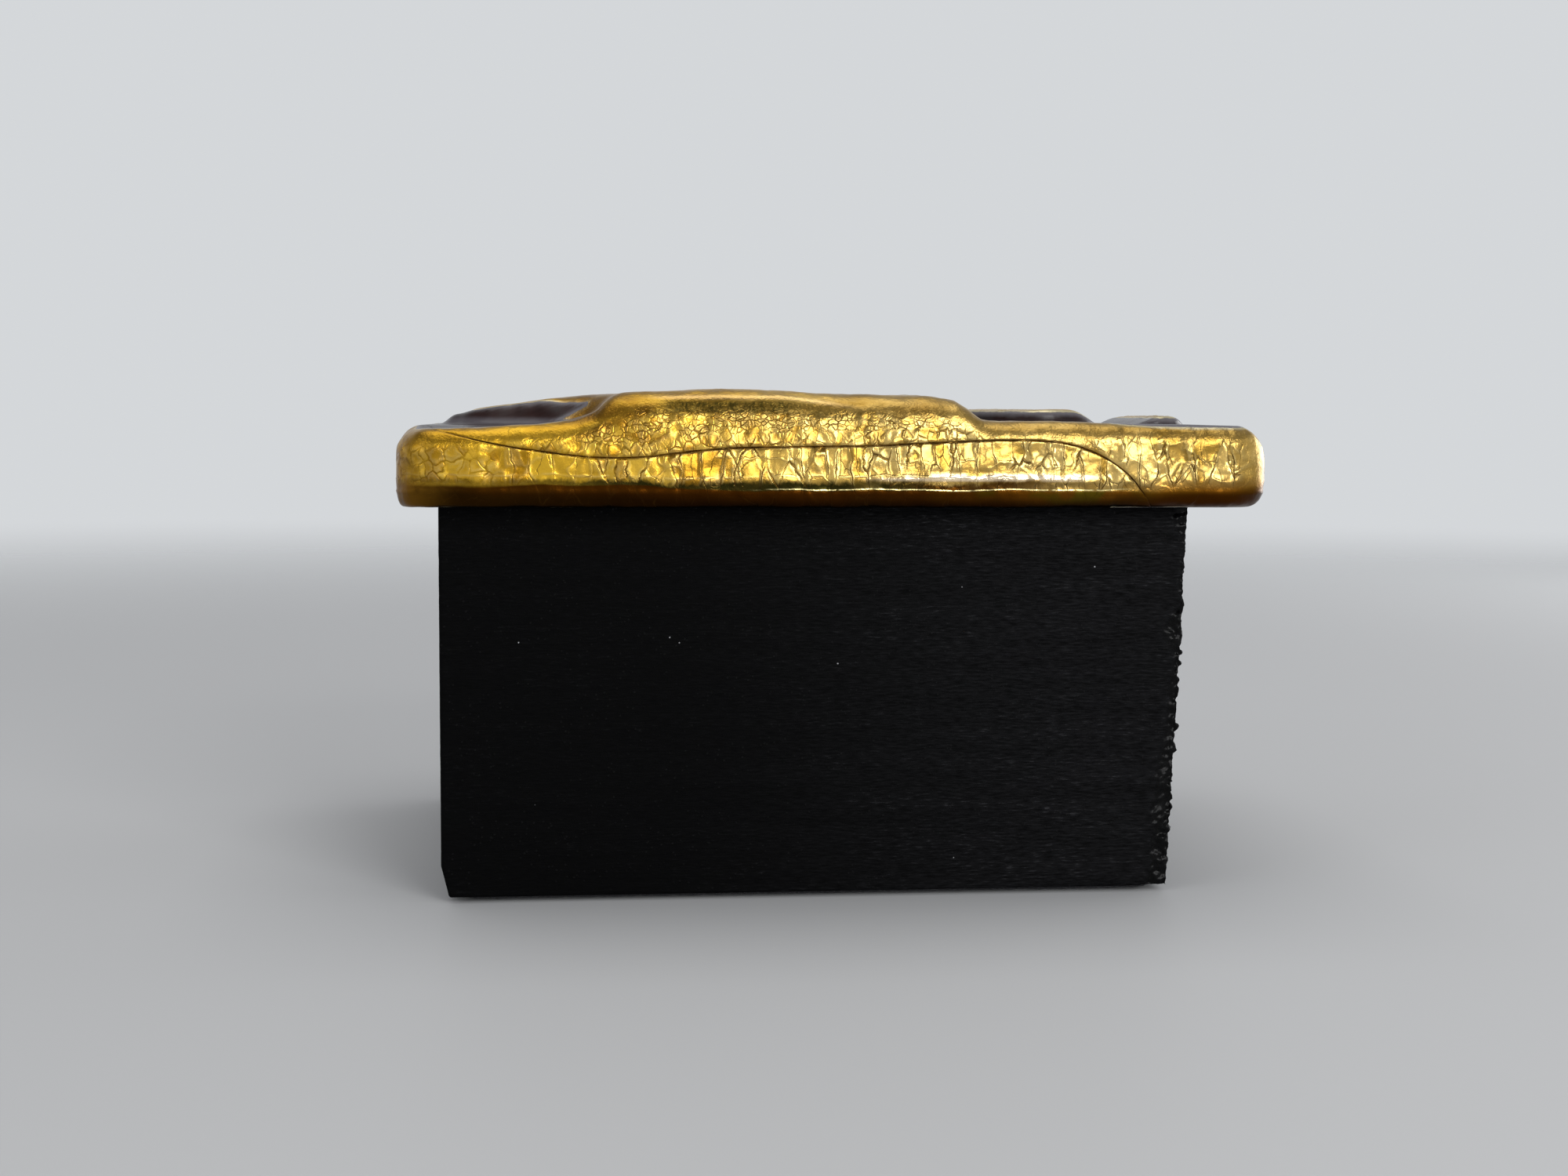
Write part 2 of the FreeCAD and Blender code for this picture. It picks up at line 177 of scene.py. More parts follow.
def mesh_normals(mesh: bpy.types.Mesh) -> Array:
    """Return the normal at each corner of a mesh."""
    flat = np.zeros(len(mesh.vertices) * 3)
    mesh.vertex_normals.foreach_get("vector", flat)
    return flat.reshape(-1, 3)


def store(mesh: bpy.types.Mesh, name: str, values: Array) -> None:
    """Keep a value or a vector for each corner of a mesh under a name."""
    kind = "FLOAT_VECTOR" if values.ndim == 2 else "FLOAT"
    layer = mesh.attributes.get(name) or mesh.attributes.new(name, kind, "POINT")
    layer.data.foreach_set("vector" if values.ndim == 2 else "value", values.ravel())


def apply_modifiers(piece: bpy.types.Object) -> None:
    """Turn what a piece's modifiers make of it into its own mesh."""
    bpy.context.view_layer.update()
    seen = piece.evaluated_get(bpy.context.evaluated_depsgraph_get())
    before = piece.data
    piece.data = bpy.data.meshes.new_from_object(seen)
    piece.modifiers.clear()
    bpy.data.meshes.remove(before)
    piece.data.name = piece.name


def rounded_loop(half_x: float, half_y: float, radius: float, counts: tuple[int, int],
                 centre: tuple[float, float] = (0.0, 0.0)) -> tuple[Array, Array]:
    """Walk round a rectangle with round corners, from the middle of the front left corner.

    Args:
        half_x: half its length.
        half_y: half its width.
        radius: radius of its corners.
        counts: steps along the front and the back, and along each end.
        centre: its middle.

    Returns:
        The places in plan and the directions outwards, one row for each step.
    """
    places, outward = [], []
    quarter = math.pi / 2
    for turn, (half_run, half_off, count) in enumerate((
            (half_x, half_y, counts[0]), (half_y, half_x, counts[1]),
            (half_x, half_y, counts[0]), (half_y, half_x, counts[1]))):
        straight = 2 * (half_run - radius)
        bend = radius * quarter / 2
        walked = np.arange(count) / count * (straight + 2 * bend)
        before = np.clip(1 - walked / max(bend, 1e-9), 0, 1)
        after = np.clip((walked - straight - bend) / max(bend, 1e-9), 0, 1)
        angle = (after - before) * quarter / 2
        run = np.clip(walked - bend, 0, straight) - straight / 2 + radius * np.sin(angle)
        off = half_off - radius + radius * np.cos(angle)
        tilt = turn * quarter
        spin = np.array([[math.cos(tilt), math.sin(tilt)], [-math.sin(tilt), math.cos(tilt)]])
        places.append(np.stack([run, -off], 1) @ spin)
        outward.append(np.stack([np.sin(angle), -np.cos(angle)], 1) @ spin)
    return np.concatenate(places) + np.asarray(centre), np.concatenate(outward)


def stack_faces(rows: int, columns: int) -> Array:
    """Return the quads between stacked closed rings of corners, facing outwards."""
    row, column = np.meshgrid(np.arange(rows - 1), np.arange(columns), indexing="ij")
    following = (column + 1) % columns
    corners = (row * columns + column, row * columns + following,
               (row + 1) * columns + following, (row + 1) * columns + column)
    return np.stack([corner.ravel() for corner in corners], 1)


def stacked_piece(name: str, rings: Sequence[Array]) -> bpy.types.Object:
    """Make a closed piece of stacked rings, the first and last of them filled flat."""
    columns = len(rings[0])
    faces = stack_faces(len(rings), columns).tolist()
    faces.append(list(range(columns))[::-1])
    faces.append(list(range((len(rings) - 1) * columns, len(rings) * columns)))
    return new_piece(name, np.concatenate(rings), faces)


def ring_at(places: Array, height: float | Array) -> Array:
    """Return plan places lifted to a height."""
    return np.column_stack([places, np.broadcast_to(height, len(places))])


# Node trees
@dataclass(frozen=True)
class Value:
    """A number or a vector in a node tree, which sums are written with as with plain numbers."""

    bench: "Bench"
    socket: Socket

    def reckon(self, operation: str, *values: object) -> "Value":
        """Lay a Math node, or a Vector Math node where this is a vector or a colour.

        Args:
            operation: the node's operation.
            values: what it works on; a plain number stands for every part of a vector.

        Returns:
            The result.
        """
        kind, output = "ShaderNodeMath", 0
        if self.socket.type in ("VECTOR", "RGBA"):
            kind, output = "ShaderNodeVectorMath", "Vector"
            values = [(value,) * 3 if isinstance(value, float) else value for value in values]
        if operation in ("DOT_PRODUCT", "LENGTH"):
            output = "Value"
        return self.bench.result(kind, output, dict(enumerate(values)), operation=operation)

    def __add__(self, other: object) -> "Value":
        """Return the sum of both."""
        return self.reckon("ADD", self, other)

    def __sub__(self, other: object) -> "Value":
        """Return this less the other."""
        return self.reckon("SUBTRACT", self, other)

    def __rsub__(self, other: object) -> "Value":
        """Return the other less this."""
        return self.reckon("SUBTRACT", other, self)

    def __mul__(self, other: object) -> "Value":
        """Return the product of both."""
        return self.reckon("MULTIPLY", self, other)

    def __abs__(self) -> "Value":
        """Return this without its sign."""
        return self.reckon("ABSOLUTE", self)

    def max(self, other: object) -> "Value":
        """Return the larger of both."""
        return self.reckon("MAXIMUM", self, other)

    def min(self, other: object) -> "Value":
        """Return the smaller of both."""
        return self.reckon("MINIMUM", self, other)

    def dot(self, other: object) -> "Value":
        """Return the dot product of both."""
        return self.reckon("DOT_PRODUCT", self, other)

    def length(self) -> "Value":
        """Return the length of a vector."""
        return self.reckon("LENGTH", self)

    def axis(self, name: str) -> "Value":
        """Return one part of a vector: X, Y or Z."""
        return self.bench.result("ShaderNodeSeparateXYZ", name, {0: self})

    def clamp(self) -> "Value":
        """Return this kept from 0 to 1."""
        return self.bench.result("ShaderNodeClamp", 0, {0: self})

    def rise(self, low: float, high: float, start: float = 0.0, end: float = 1.0) -> "Value":
        """Return a soft rise from start to end as this goes from low to high."""
        inputs = dict(enumerate((self, low, high, start, end)))
        return self.bench.result("ShaderNodeMapRange", 0, inputs, interpolation_type="SMOOTHSTEP")


@dataclass(frozen=True)
class Bench:
    """A node tree, with short calls that lay nodes and join them."""

    tree: bpy.types.NodeTree

    def join(self, socket: Socket, value: object) -> None:
        """Link a socket to a value of the tree, or set its constant."""
        if isinstance(value, Value):
            self.tree.links.new(value.socket, socket)
        else:
            socket.default_value = value

    def lay(self, kind: str, inputs: dict | None = None, **settings: object) -> bpy.types.Node:
        """Add a node.

        Args:
            kind: the node's type.
            inputs: values for its inputs, by name or number.
            settings: its own options.

        Returns:
            The node.
        """
        node = self.tree.nodes.new(kind)
        for name, value in settings.items():
            setattr(node, name, value)
        for name, value in (inputs or {}).items():
            self.join(node.inputs[name], value)
        return node

    def result(self, kind: str, output: int | str, inputs: dict | None = None,
               **settings: object) -> Value:
        """Add a node and return one of its outputs."""
        return Value(self, self.lay(kind, inputs, **settings).outputs[output])

    def shade(self, share: object, low: object, high: object) -> Value:
        """Return a mix of two colours."""
        return self.result("ShaderNodeMix", 2, {0: share, 6: low, 7: high}, data_type="RGBA")

    def between(self, share: object, low: object, high: object) -> Value:
        """Return a mix of two numbers."""
        return self.result("ShaderNodeMix", 0, {0: share, 2: low, 3: high}, data_type="FLOAT")

    def noise(self, place: Value, grain: float, detail: float = 2.0, rough: float = 0.5,
              colour: bool = False) -> Value:
        """Return noise whose lumps are about grain across, from 0 to 1."""
        inputs = {"Vector": place, "Scale": 1.0 / grain, "Detail": detail, "Roughness": rough}
        return self.result("ShaderNodeTexNoise", 1 if colour else 0, inputs)

    def cells(self, place: Value, feature: str = "DISTANCE_TO_EDGE") -> dict[str, Value]:
        """Return what a Voronoi node finds at a place already scaled to one cell a unit."""
        node = self.lay("ShaderNodeTexVoronoi", {"Vector": place, "Scale": 1.0}, feature=feature)
        return {output.name: Value(self, output) for output in node.outputs}

    def kept(self, name: str, output: str = "Fac") -> Value:
        """Return what a mesh keeps under a name, for a material."""
        return self.result("ShaderNodeAttribute", output, attribute_name=name)

    def object_place(self) -> Value:
        """Return the place on the object, in millimetres."""
        return self.result("ShaderNodeTexCoord", "Object") * 1000.0

    def normal_under(self, relief: Value, strength: float = 1.0) -> Value:
        """Return the surface's normal under a relief in millimetres."""
        inputs = {"Strength": strength, "Distance": MM, "Height": relief}
        return self.result("ShaderNodeBump", "Normal", inputs)

    def dress(self, values: dict[str, object]) -> None:
        """Set or link the inputs of the tree's Principled shader."""
        shader = self.tree.nodes["Principled BSDF"]
        for name, value in values.items():
            self.join(shader.inputs[name], value)


def new_material(name: str) -> tuple[bpy.types.Material, Bench]:
    """Start a material, and return it with a bench on its tree."""
    made = bpy.data.materials.new(name)
    made.use_nodes = True
    return made, Bench(made.node_tree)


def new_group(name: str, kind: str, ins: dict[str, str], outs: dict[str, str]
              ) -> tuple[Bench, dict[str, Value], bpy.types.Node]:
    """Start a node group.

    Args:
        name: the group's name.
        kind: "ShaderNodeTree" or "GeometryNodeTree".
        ins: socket types of its inputs by name.
        outs: socket types of its outputs by name.

    Returns:
        A bench on its tree, its inputs by name and its output node.
    """
    tree = bpy.data.node_groups.new(name, kind)
    for way, sockets in (("INPUT", ins), ("OUTPUT", outs)):
        for label, socket_type in sockets.items():
            tree.interface.new_socket(name=label, in_out=way, socket_type=socket_type)
    bench = Bench(tree)
    given = bench.lay("NodeGroupInput").outputs
    return bench, {label: Value(bench, given[label]) for label in ins}, bench.lay("NodeGroupOutput")


NUMBER = "NodeSocketFloat"
VECTOR = "NodeSocketVector"


@dataclass(frozen=True)
class CrackleCells:
    """One size of crackle cell: its width and height in millimetres."""

    width: float
    height: float

    def lay(self, bench: Bench, place: Value) -> tuple[Value, Value, Value]:
        """Lay its nodes.

        Args:
            bench: the tree to lay them in.
            place: the wandering place, in millimetres.

        Returns:
            The distance to the cell's edge and its foil's lean, in millimetres, and its own tone.
        """
        spot = place * (1 / self.width, 1 / self.width, 1 / self.height)
        edge = bench.cells(spot)["Distance"] * self.width
        cell = bench.cells(spot, "F1")
        lean = (cell["Color"] - 0.5).dot(spot - cell["Position"]) * self.width
        return edge, lean, cell["Color"].axis("X")


PANELS = CrackleCells(4.2, 12.0)
SCALES = CrackleCells(1.45, 2.4)
PUCKERS = CrackleCells(1.05, 0.85)
HAIRLINES = CrackleCells(2.7, 6.5)


def lay_crackle(bench: Bench, rest: Value, seam: Value, satin: Value, foot: Value
                ) -> dict[str, Value]:
    """Lay the nodes of the puckered glaze, for the relief and for the shader alike.

    Args:
        bench: the tree to lay them in.
        rest: the place on the smooth clay, in metres.
        seam: height over the joint between the slabs, in millimetres.
        satin: 1 where the glaze lies smooth.
        foot: height over the top of the amber band, in millimetres.

    Returns:
        Relief in millimetres, Crack, Rim and Tone from 0 to 1.
    """
    place = rest * 1000.0
    drift = bench.noise(place, 3.4, 3.0, colour=True) - 0.5
    bent = place + drift * 2.2
    across = place.axis("X")
    # Long panels under the joint, scales over it and at the left end, puckers higher up.
    above = seam.rise(-0.15, 0.15) * across.rise(44.0, 50.0, 1.0, 0.0)
    small = above.max(across.rise(-54.5, -51.5, 1.0, 0.0))
    high = above * seam.rise(2.0, 2.8)
    # Panels crowd together right of the left hollow, and scales spread out at the left end.
    crowd = (across + 25.0).max(0.0) * 0.42
    spread = (across + 52.0).min(0.0) * -0.22
    slid = [bent + bench.result("ShaderNodeCombineXYZ", 0, {0: slide}) for slide in (crowd, spread)]
    found = [cells.lay(bench, spot)
             for cells, spot in zip((PANELS, SCALES, PUCKERS), (*slid, bent))]
    edge, lean, tone = (bench.between(high, bench.between(small, panel, scale), pucker)
                        for panel, scale, pucker in zip(*found))
    edge = edge.min(abs(seam))
    # Valleys where the glaze drew apart, their raised rims, hairlines between them and the joint.
    calm = (1.0 - satin).clamp()
    presence = bench.noise(place, 3.2, 2.0).rise(0.36, 0.6, 0.12, 1.0) * calm
    presence *= bench.between(above, 1.0, 0.72)
    rim = edge.rise(0.05, 0.16) * edge.rise(0.18, 0.55, 1.0, 0.0) * presence
    folds = across.rise(-32.0, -20.0, 0.4, 0.0) * across.rise(-54.0, -48.0)
    valley = (edge * (1.0 - folds)).rise(0.01, 0.11, 1.0, 0.0) * presence
    sparse = bench.noise(place, 3.6, 1.0).rise(0.46, 0.56, 0.0, 0.7) * calm
    hair = HAIRLINES.lay(bench, bent)[0].rise(0.0, 0.08, 1.0, 0.0) * sparse
    valley = valley.max(hair * small.rise(0.0, 1.0, 1.0, 0.0))
    joint = abs(seam).rise(0.08, 0.2, 0.95, 0.0) * across.rise(-62.0, -58.0, 0.25, 1.0)
    joint *= foot.rise(-1.6, -0.4, 0.2, 1.0)
    valley = (valley * across.rise(-58.0, -40.0, 0.6, 1.0)).max(joint)
    # Long soft folds across the foil, and one along the foot of the gold.
    crest = abs(bench.noise(bent, 5.5, 1.0) - 0.5)
    fold = crest.rise(0.0, 0.045, 1.0, 0.0) * calm
    wave = bench.noise(place, 3.2, 2.0) * 1.1 + across.rise(-26.0, -12.0, -1.9, -2.85)
    hem = abs(foot + wave).rise(0.0, 0.34, 0.85, 0.0) * across.rise(24.0, 40.0, 1.0, 0.12)
    hem *= bench.noise(place, 2.6, 1.0).rise(0.36, 0.5, 0.25, 1.0)
    rim = rim.max(fold * 0.5).max(hem)
    # The relief lies flatter at the left end and above the joint.
    wrinkle = bench.noise(bent, 1.7, 2.0, 0.45) - 0.5
    swell = bench.noise(place, 6.0, 2.0) - 0.5
    taut = across.rise(-50.0, 6.0, 0.55, 0.9) * bench.between(above, 1.0, 0.85)
    relief = rim * across.rise(-58.0, -44.0, 0.04, 0.085)
    relief += valley * across.rise(-58.0, -44.0, -0.05, -0.1)
    relief += fold * 0.045
    relief += lean * bench.between(calm, 0.03, 0.17)
    relief += wrinkle * bench.between(calm, 0.08, 0.15)
    relief = relief * taut + swell * 0.5
    # Tone: each cell's own random tone, lighter on the wrinkles' crests and darker in their
    # hollows, which is painted light and shade.
    tone = (wrinkle * 0.5 + bench.between(calm, 0.5, tone)).clamp()
    return {"Relief": relief, "Crack": valley, "Rim": rim, "Tone": tone}


@dataclass(frozen=True)
class GoldCrackleGlaze:
    """Metallic gold over a crackled glaze, with dark aubergine glaze in the channels."""

    slot: str = "gold_crackle_glaze"
    old_gold: tuple = ((0.34, 0.158, 0.006, 1.0), (0.77, 0.455, 0.034, 1.0))
    pale_gold: tuple = ((0.38, 0.220, 0.036, 1.0), (0.70, 0.475, 0.145, 1.0))
    crack: tuple = ((0.115, 0.052, 0.005, 1.0), (0.040, 0.015, 0.002, 1.0))
    rim_light: tuple = (0.98, 0.83, 0.38, 1.0)
    painted_highlight_rose: tuple = (0.98, 0.84, 0.66, 1.0)
    amber: tuple = (0.058, 0.017, 0.001, 1.0)
    honey: tuple = (0.095, 0.065, 0.003, 1.0)
    russet: tuple = (0.140, 0.050, 0.003, 1.0)
    brown_and_reflection: tuple = (0.26, 0.105, 0.008, 1.0)
    umber: tuple = (0.018, 0.006, 0.001, 1.0)
    smoke: tuple = (0.088, 0.066, 0.013, 1.0)
    olive: tuple = (0.030, 0.025, 0.005, 1.0)
    cream: tuple = (0.70, 0.64, 0.42, 1.0)
    aubergine: tuple = (0.008, 0.0040, 0.0035, 1.0)
    dusk: tuple = (0.030, 0.0090, 0.0070, 1.0)
    painted_reflection_grey: tuple = (0.075, 0.064, 0.072, 1.0)
    thin: tuple = (0.26, 0.25, 0.27, 1.0)
    scorch: tuple = (0.21, 0.098, 0.010, 1.0)

    @staticmethod
    def crackle_group() -> bpy.types.NodeTree:
        """Return the shader group of the puckered glaze."""
        bench, ins, outs = new_group(
            "puckered_glaze", "ShaderNodeTree",
            {"Rest": VECTOR, **dict.fromkeys(("Seam", "Satin", "Foot"), NUMBER)},
            dict.fromkeys(("Relief", "Crack", "Rim", "Tone"), NUMBER))
        for label, value in lay_crackle(bench, *ins.values()).items():
            bench.join(outs.inputs[label], value)
        return bench.tree

    def foot_colours(self, bench: Bench, place: Value, foot: Value, cloud: Value, gold: Value
                     ) -> tuple[Value, Value]:
        """Lay the dark strip, the glint line and the amber band over the gold's foot. The strip is
        painted shade, the glint line a painted highlight, and the band partly the glaze's own
        colour, partly a painted reflection of a dark surface under the lid.

        Args:
            bench: the material's tree.
            place: the place on the clay, in millimetres.
            foot: height over the top of the amber band.
            cloud: broad noise from 0 to 1.
            gold: the colour so far.

        Returns:
            The colour, and a mask of the band.
        """
        across = place.axis("X")
        feather = bench.noise(place * (1.0, 1.0, 0.6), 0.75, 4.0, 0.6)
        drape = (bench.noise(place, 4.5, 1.0) - 0.5) * 1.6
        # The dark strip over the band is painted shade.
        ragged = (feather - 0.5) * 1.5 + foot + drape - across.rise(-24.0, -12.0, 0.75, 1.45)
        strip = ragged.rise(-0.55, 0.45, 1.0, 0.0) * cloud.rise(0.3, 0.5, 0.8, 1.0)
        strip *= across.rise(-58.0, -30.0, 0.55, 1.0) * across.rise(26.0, 48.0, 1.0, 0.3)
        gold = bench.shade(strip, gold, bench.shade(across.rise(6.0, 26.0), self.olive, self.amber))
        # A painted highlight: the broken glint line at the top of the band.
        line = (bench.noise(place, 2.2, 2.0) - 0.5) * 0.35 + foot
        span = across.rise(-14.0, 2.0) * across.rise(44.0, 52.0, 1.0, 0.0)
        broken = bench.noise(place, 2.0, 2.0).rise(0.36, 0.46)
        glint = abs(line - 0.1).rise(0.03, 0.15, 1.0, 0.0) * (span * broken)
        # The amber band: partly the glaze's own colour, partly a painted reflection of a dark
        # surface under the lid.
        soft = line * across.rise(47.0, 54.0, 1.0, 0.3) * across.rise(-56.0, -46.0, 0.45, 1.0)
        band = soft.rise(-0.3, 0.06, 1.0, 0.0)
        glow = bench.shade(bench.noise(place, 5.0, 1.0).rise(0.42, 0.58), self.russet, self.honey)
        warm = bench.shade(across.rise(12.0, 40.0, 0.0, 0.9), self.amber, glow)
        # Painted shade: the band darkens to umber towards the underside and at the left end.
        depth = cloud * 1.4 + foot - across.rise(-66.0, -52.0, 1.4, 0.0)
        shaded_band = bench.shade(depth.rise(-2.0, 0.6), self.umber, warm)
        gold = bench.shade(band * 0.97, gold, shaded_band)
        # At the right end the band turns brown upwards: partly glaze colour, partly painted
        # reflection.
        haze = foot.rise(-1.2, 2.2, 0.92, 0.0) * across.rise(46.0, 58.0)
        brown_and_reflection = bench.shade(foot.rise(-1.9, 0.9), self.amber, self.brown_and_reflection)
        gold = bench.shade(haze * cloud.rise(0.25, 0.6, 0.75, 1.0), gold, brown_and_reflection)
        return bench.shade(glint, gold, self.rim_light), band

    def channel_glaze(self, bench: Bench, place: Value, cloud: Value, border: Value) -> Value:
        """Lay the dark glaze of the channels.

        Args:
            bench: the material's tree.
            place: the place on the clay, in millimetres.
            cloud: broad noise from 0 to 1.
            border: how far inside the gold the place lies.

        Returns:
            The colour: a painted reflection in milky grey low on the walls, and paler where it runs
                out at the gold.
        """
        channel_colour = bench.shade(bench.noise(place, 2.5, 3.0), self.aubergine, self.dusk)
        # Painted reflection: a milky grey band low on the walls.
        height = cloud - 0.5 + place.axis("Z")
        painted_reflection_band = height.rise(79.5, 79.9, 0.45, 1.0) * height.rise(80.3, 81.3, 1.0, 0.0)
        channel_colour = bench.shade(painted_reflection_band, channel_colour, self.painted_reflection_grey)
        return bench.shade(border.rise(-1.1, -0.1, 0.0, 0.5), channel_colour, self.thin)

    def material(self) -> bpy.types.Material:
        """Make the glaze."""
        made, bench = new_material(self.slot)
        rest = bench.kept("rest", "Vector")
        place = rest * 1000.0
        across = place.axis("X")
        gild, seam, satin, foot, lustre, smoke, scorch = (bench.kept(name) for name in (
            "gild", "seam", "satin", "foot", "lustre", "smoke", "scorch"))
        glaze = bench.lay("ShaderNodeGroup", dict(enumerate((rest, seam, satin, foot))),
                          node_tree=self.crackle_group())
        puckers, crack, rim, panel_tone = (Value(bench, output) for output in glaze.outputs)
        cloud = bench.noise(place, 9.0, 3.0)
        tone = ((cloud - 0.5) * 1.3 + panel_tone).clamp()
        drift = bench.noise(place * (0.12, 0.12, 0.8), 1.6, 3.0)
        tone = ((drift - 0.55) * satin * 1.7 + tone).clamp()
        # The gold is painted deeper at the left and paler towards the right: painted shade at the
        # left, where the light falls off, and painted light towards the right.
        paler = across.rise(-48.0, 22.0)
        tone = (satin * across.rise(-36.0, -28.0, 0.22, 0.0) + tone).clamp()
        old, pale = (bench.shade(tone, *pair) for pair in (self.old_gold, self.pale_gold))
        gold = bench.shade(paler, old, pale)
        # Painted highlight: the raised rims, the folds and the hem at the foot are painted bright
        # gold.
        gold = bench.shade(rim * bench.between(paler, 0.18, 0.24), gold, self.rim_light)
        # Painted highlight: pale rose gold on the crest, the roll at the foot and the right end.
        gold = bench.shade(lustre * 0.62, gold, self.painted_highlight_rose)
        # Painted shade in the groove under the hump's crest, streaked.
        streak = bench.noise(place * (1.0, 1.0, 0.1), 0.5, 2.0)
        gold = bench.shade(smoke * streak.rise(0.3, 0.65, 1.0, 0.55), gold, self.smoke)
        gold, band = self.foot_colours(bench, place, foot, cloud, gold)
        # Browner round the left hollow's end, and painted shade at the left end, under the left
        # flank and at the dent.
        browned_and_shaded = scorch * bench.noise(place, 2.2, 3.0).rise(0.25, 0.55, 0.55, 1.0)
        gold = bench.shade(browned_and_shaded, gold, self.scorch)
        deep = bench.noise(place, 1.8, 2.0).rise(0.42, 0.62)
        gold = bench.shade(crack * 0.9, gold, bench.shade(deep, *self.crack))
        border = (bench.noise(place, 0.9, 3.0) - 0.5) * 0.3 + gild
        gilded = border.rise(-0.08, 0.08)
        rimmed = border.rise(0.15, 0.8, 0.8, 0.0) * (1.0 - browned_and_shaded).clamp()
        gold = bench.shade(rimmed, gold, self.cream)
        channel_colour = self.channel_glaze(bench, place, cloud, border)
        polish = bench.noise(place, 1.4, 2.0).rise(0.3, 0.7, 0.21, 0.31)
        polish = bench.between(lustre, bench.between(satin, polish, 0.3), 0.14)
        grit = bench.noise(place, 0.42, 3.0, 0.6) - 0.5
        fine = (satin * (1.0 - band).clamp() - lustre).clamp()
        relief = puckers * 0.6 + grit * bench.between(fine, 0.012, 0.1)
        bench.dress({
            "Base Color": bench.shade(gilded, channel_colour, gold),
            "Metallic": ((crack * -0.25 + 1.0 + rimmed * -0.4) * gilded).clamp(),
            "Roughness": bench.between(gilded, 0.27, polish),
            "Specular IOR Level": 0.22,
            "Normal": bench.normal_under(relief * border.rise(-0.4, 0.4, 0.06, 1.0))})
        return made


@dataclass(frozen=True)
class BlackPaintedWood:
    """Matt black paint over raised grain, with nibs and specks of dust."""

    slot: str = "black_painted_wood"
    paint: tuple = (0.0007, 0.0007, 0.0008, 1.0)
    grain_and_painted_light: tuple = (0.0090, 0.0090, 0.0100, 1.0)
    painted_glint: tuple = (0.030, 0.030, 0.034, 1.0)
    dust: tuple = (0.35, 0.35, 0.36, 1.0)

    def material(self, name: str) -> bpy.types.Material:
        """Make the paint, its grain running along X."""
        made, bench = new_material(name)
        place = bench.object_place()
        torn = bench.kept("torn")
        whole = (1.0 - torn).clamp()
        streak = bench.noise(place * (0.15, 1.0, 1.0), 0.34, 3.0, 0.65)
        broad = bench.noise(place * (0.08, 1.0, 1.0), 2.4, 3.0)
        patch = bench.noise(place * (0.5, 1.0, 1.0), 9.0, 2.0)
        # The brushed grain shows most at the right, where the wood tore; there the paint's colour
        # is also lighter, which is painted light falling from the right.
        right = place.axis("X").rise(-30.0, 48.0, 0.12, 1.0)
        thread = streak.rise(0.58, 0.7) * broad.rise(0.42, 0.58) * whole
        thread *= right * patch.rise(0.38, 0.6, 0.25, 1.0)
        nib = bench.cells(place * (1 / 1.1), "F1")["Distance"].rise(0.04, 0.26, 1.0, 0.0)
        nib *= bench.noise(place, 7.0, 2.0).rise(0.42, 0.58, 0.15, 1.0)
        speck = bench.cells(place * (1 / 8.0), "F1")["Distance"].rise(0.008, 0.022, 1.0, 0.0)
        brushed = (broad - 0.5) * 0.3 + streak
        tint = bench.shade(brushed.rise(0.22, 0.8) * right * whole, self.paint, self.grain_and_painted_light)
        # Painted glints: pale grey along the threads of the grain.
        tint = bench.shade(thread * 0.5, tint, self.painted_glint)
        grain = (streak - 0.5) * bench.between(right, 0.02, 0.1) + (broad - 0.5) * 0.03
        orange_peel = (bench.noise(place, 0.7, 2.0) - 0.5) * 0.022
        chips = (bench.noise(place, 0.55, 4.0, 0.65) - 0.5) * torn * 0.55
        bench.dress({
            "Base Color": bench.shade(speck, tint, self.dust),
            "Roughness": streak.rise(0.35, 0.7, 0.6, 0.46),
            "Specular IOR Level": 0.04,
            "Coat Weight": torn * 0.17 + thread * 0.3 + nib * whole * 0.14,
            "Coat Roughness": 0.22,
            "Normal": bench.normal_under(grain * whole + nib * 0.09 + orange_peel + chips)})
        return made


@dataclass(frozen=True)
class PressedFelt:
    """Pressed wool felt: matted fibres, a soft sheen and flecks of lint."""

    slot: str
    wool: tuple
    light: tuple

    def material(self) -> bpy.types.Material:
        """Make the felt."""
        made, bench = new_material(self.slot)
        place = bench.object_place()
        mat = bench.noise(place, 0.35, 4.0, 0.7)
        cloud = bench.noise(place, 7.0, 3.0)
        fibre = bench.result("ShaderNodeTexNoise", 0, {"Vector": place, "Scale": 1.6,
                                                       "Detail": 3.0, "Distortion": 2.2})
        thread = abs(fibre - 0.5).rise(0.0, 0.03, 1.0, 0.0)
        tint = bench.shade((mat * 0.8 + cloud * 0.3).clamp(), self.wool, self.light)
        bench.dress({
            "Base Color": bench.shade(thread * 0.35, tint, self.light),
            "Roughness": 0.95,
            "Specular IOR Level": 0.1,
            "Sheen Weight": 0.35,
            "Sheen Roughness": 0.5,
            "Normal": bench.normal_under(thread * 0.05 + mat * 0.16, 0.9)})
        return made


@dataclass(frozen=True)
class CuredAdhesive:
    """Yellowed contact adhesive, squeezed flat."""

    slot: str = "adhesive"
    colour: tuple = (0.55, 0.47, 0.30, 1.0)
    aged: tuple = (0.34, 0.25, 0.12, 1.0)

    def material(self) -> bpy.types.Material:
        """Make the adhesive."""
        made, bench = new_material(self.slot)
        place = bench.object_place()
        cloud = bench.noise(place, 3.0, 4.0)
        bench.dress({
            "Base Color": bench.shade(cloud, self.colour, self.aged),
            "Roughness": cloud.rise(0.3, 0.7, 0.35, 0.55),
            "Normal": bench.normal_under(bench.noise(place, 0.9, 3.0), 0.6)})
        return made


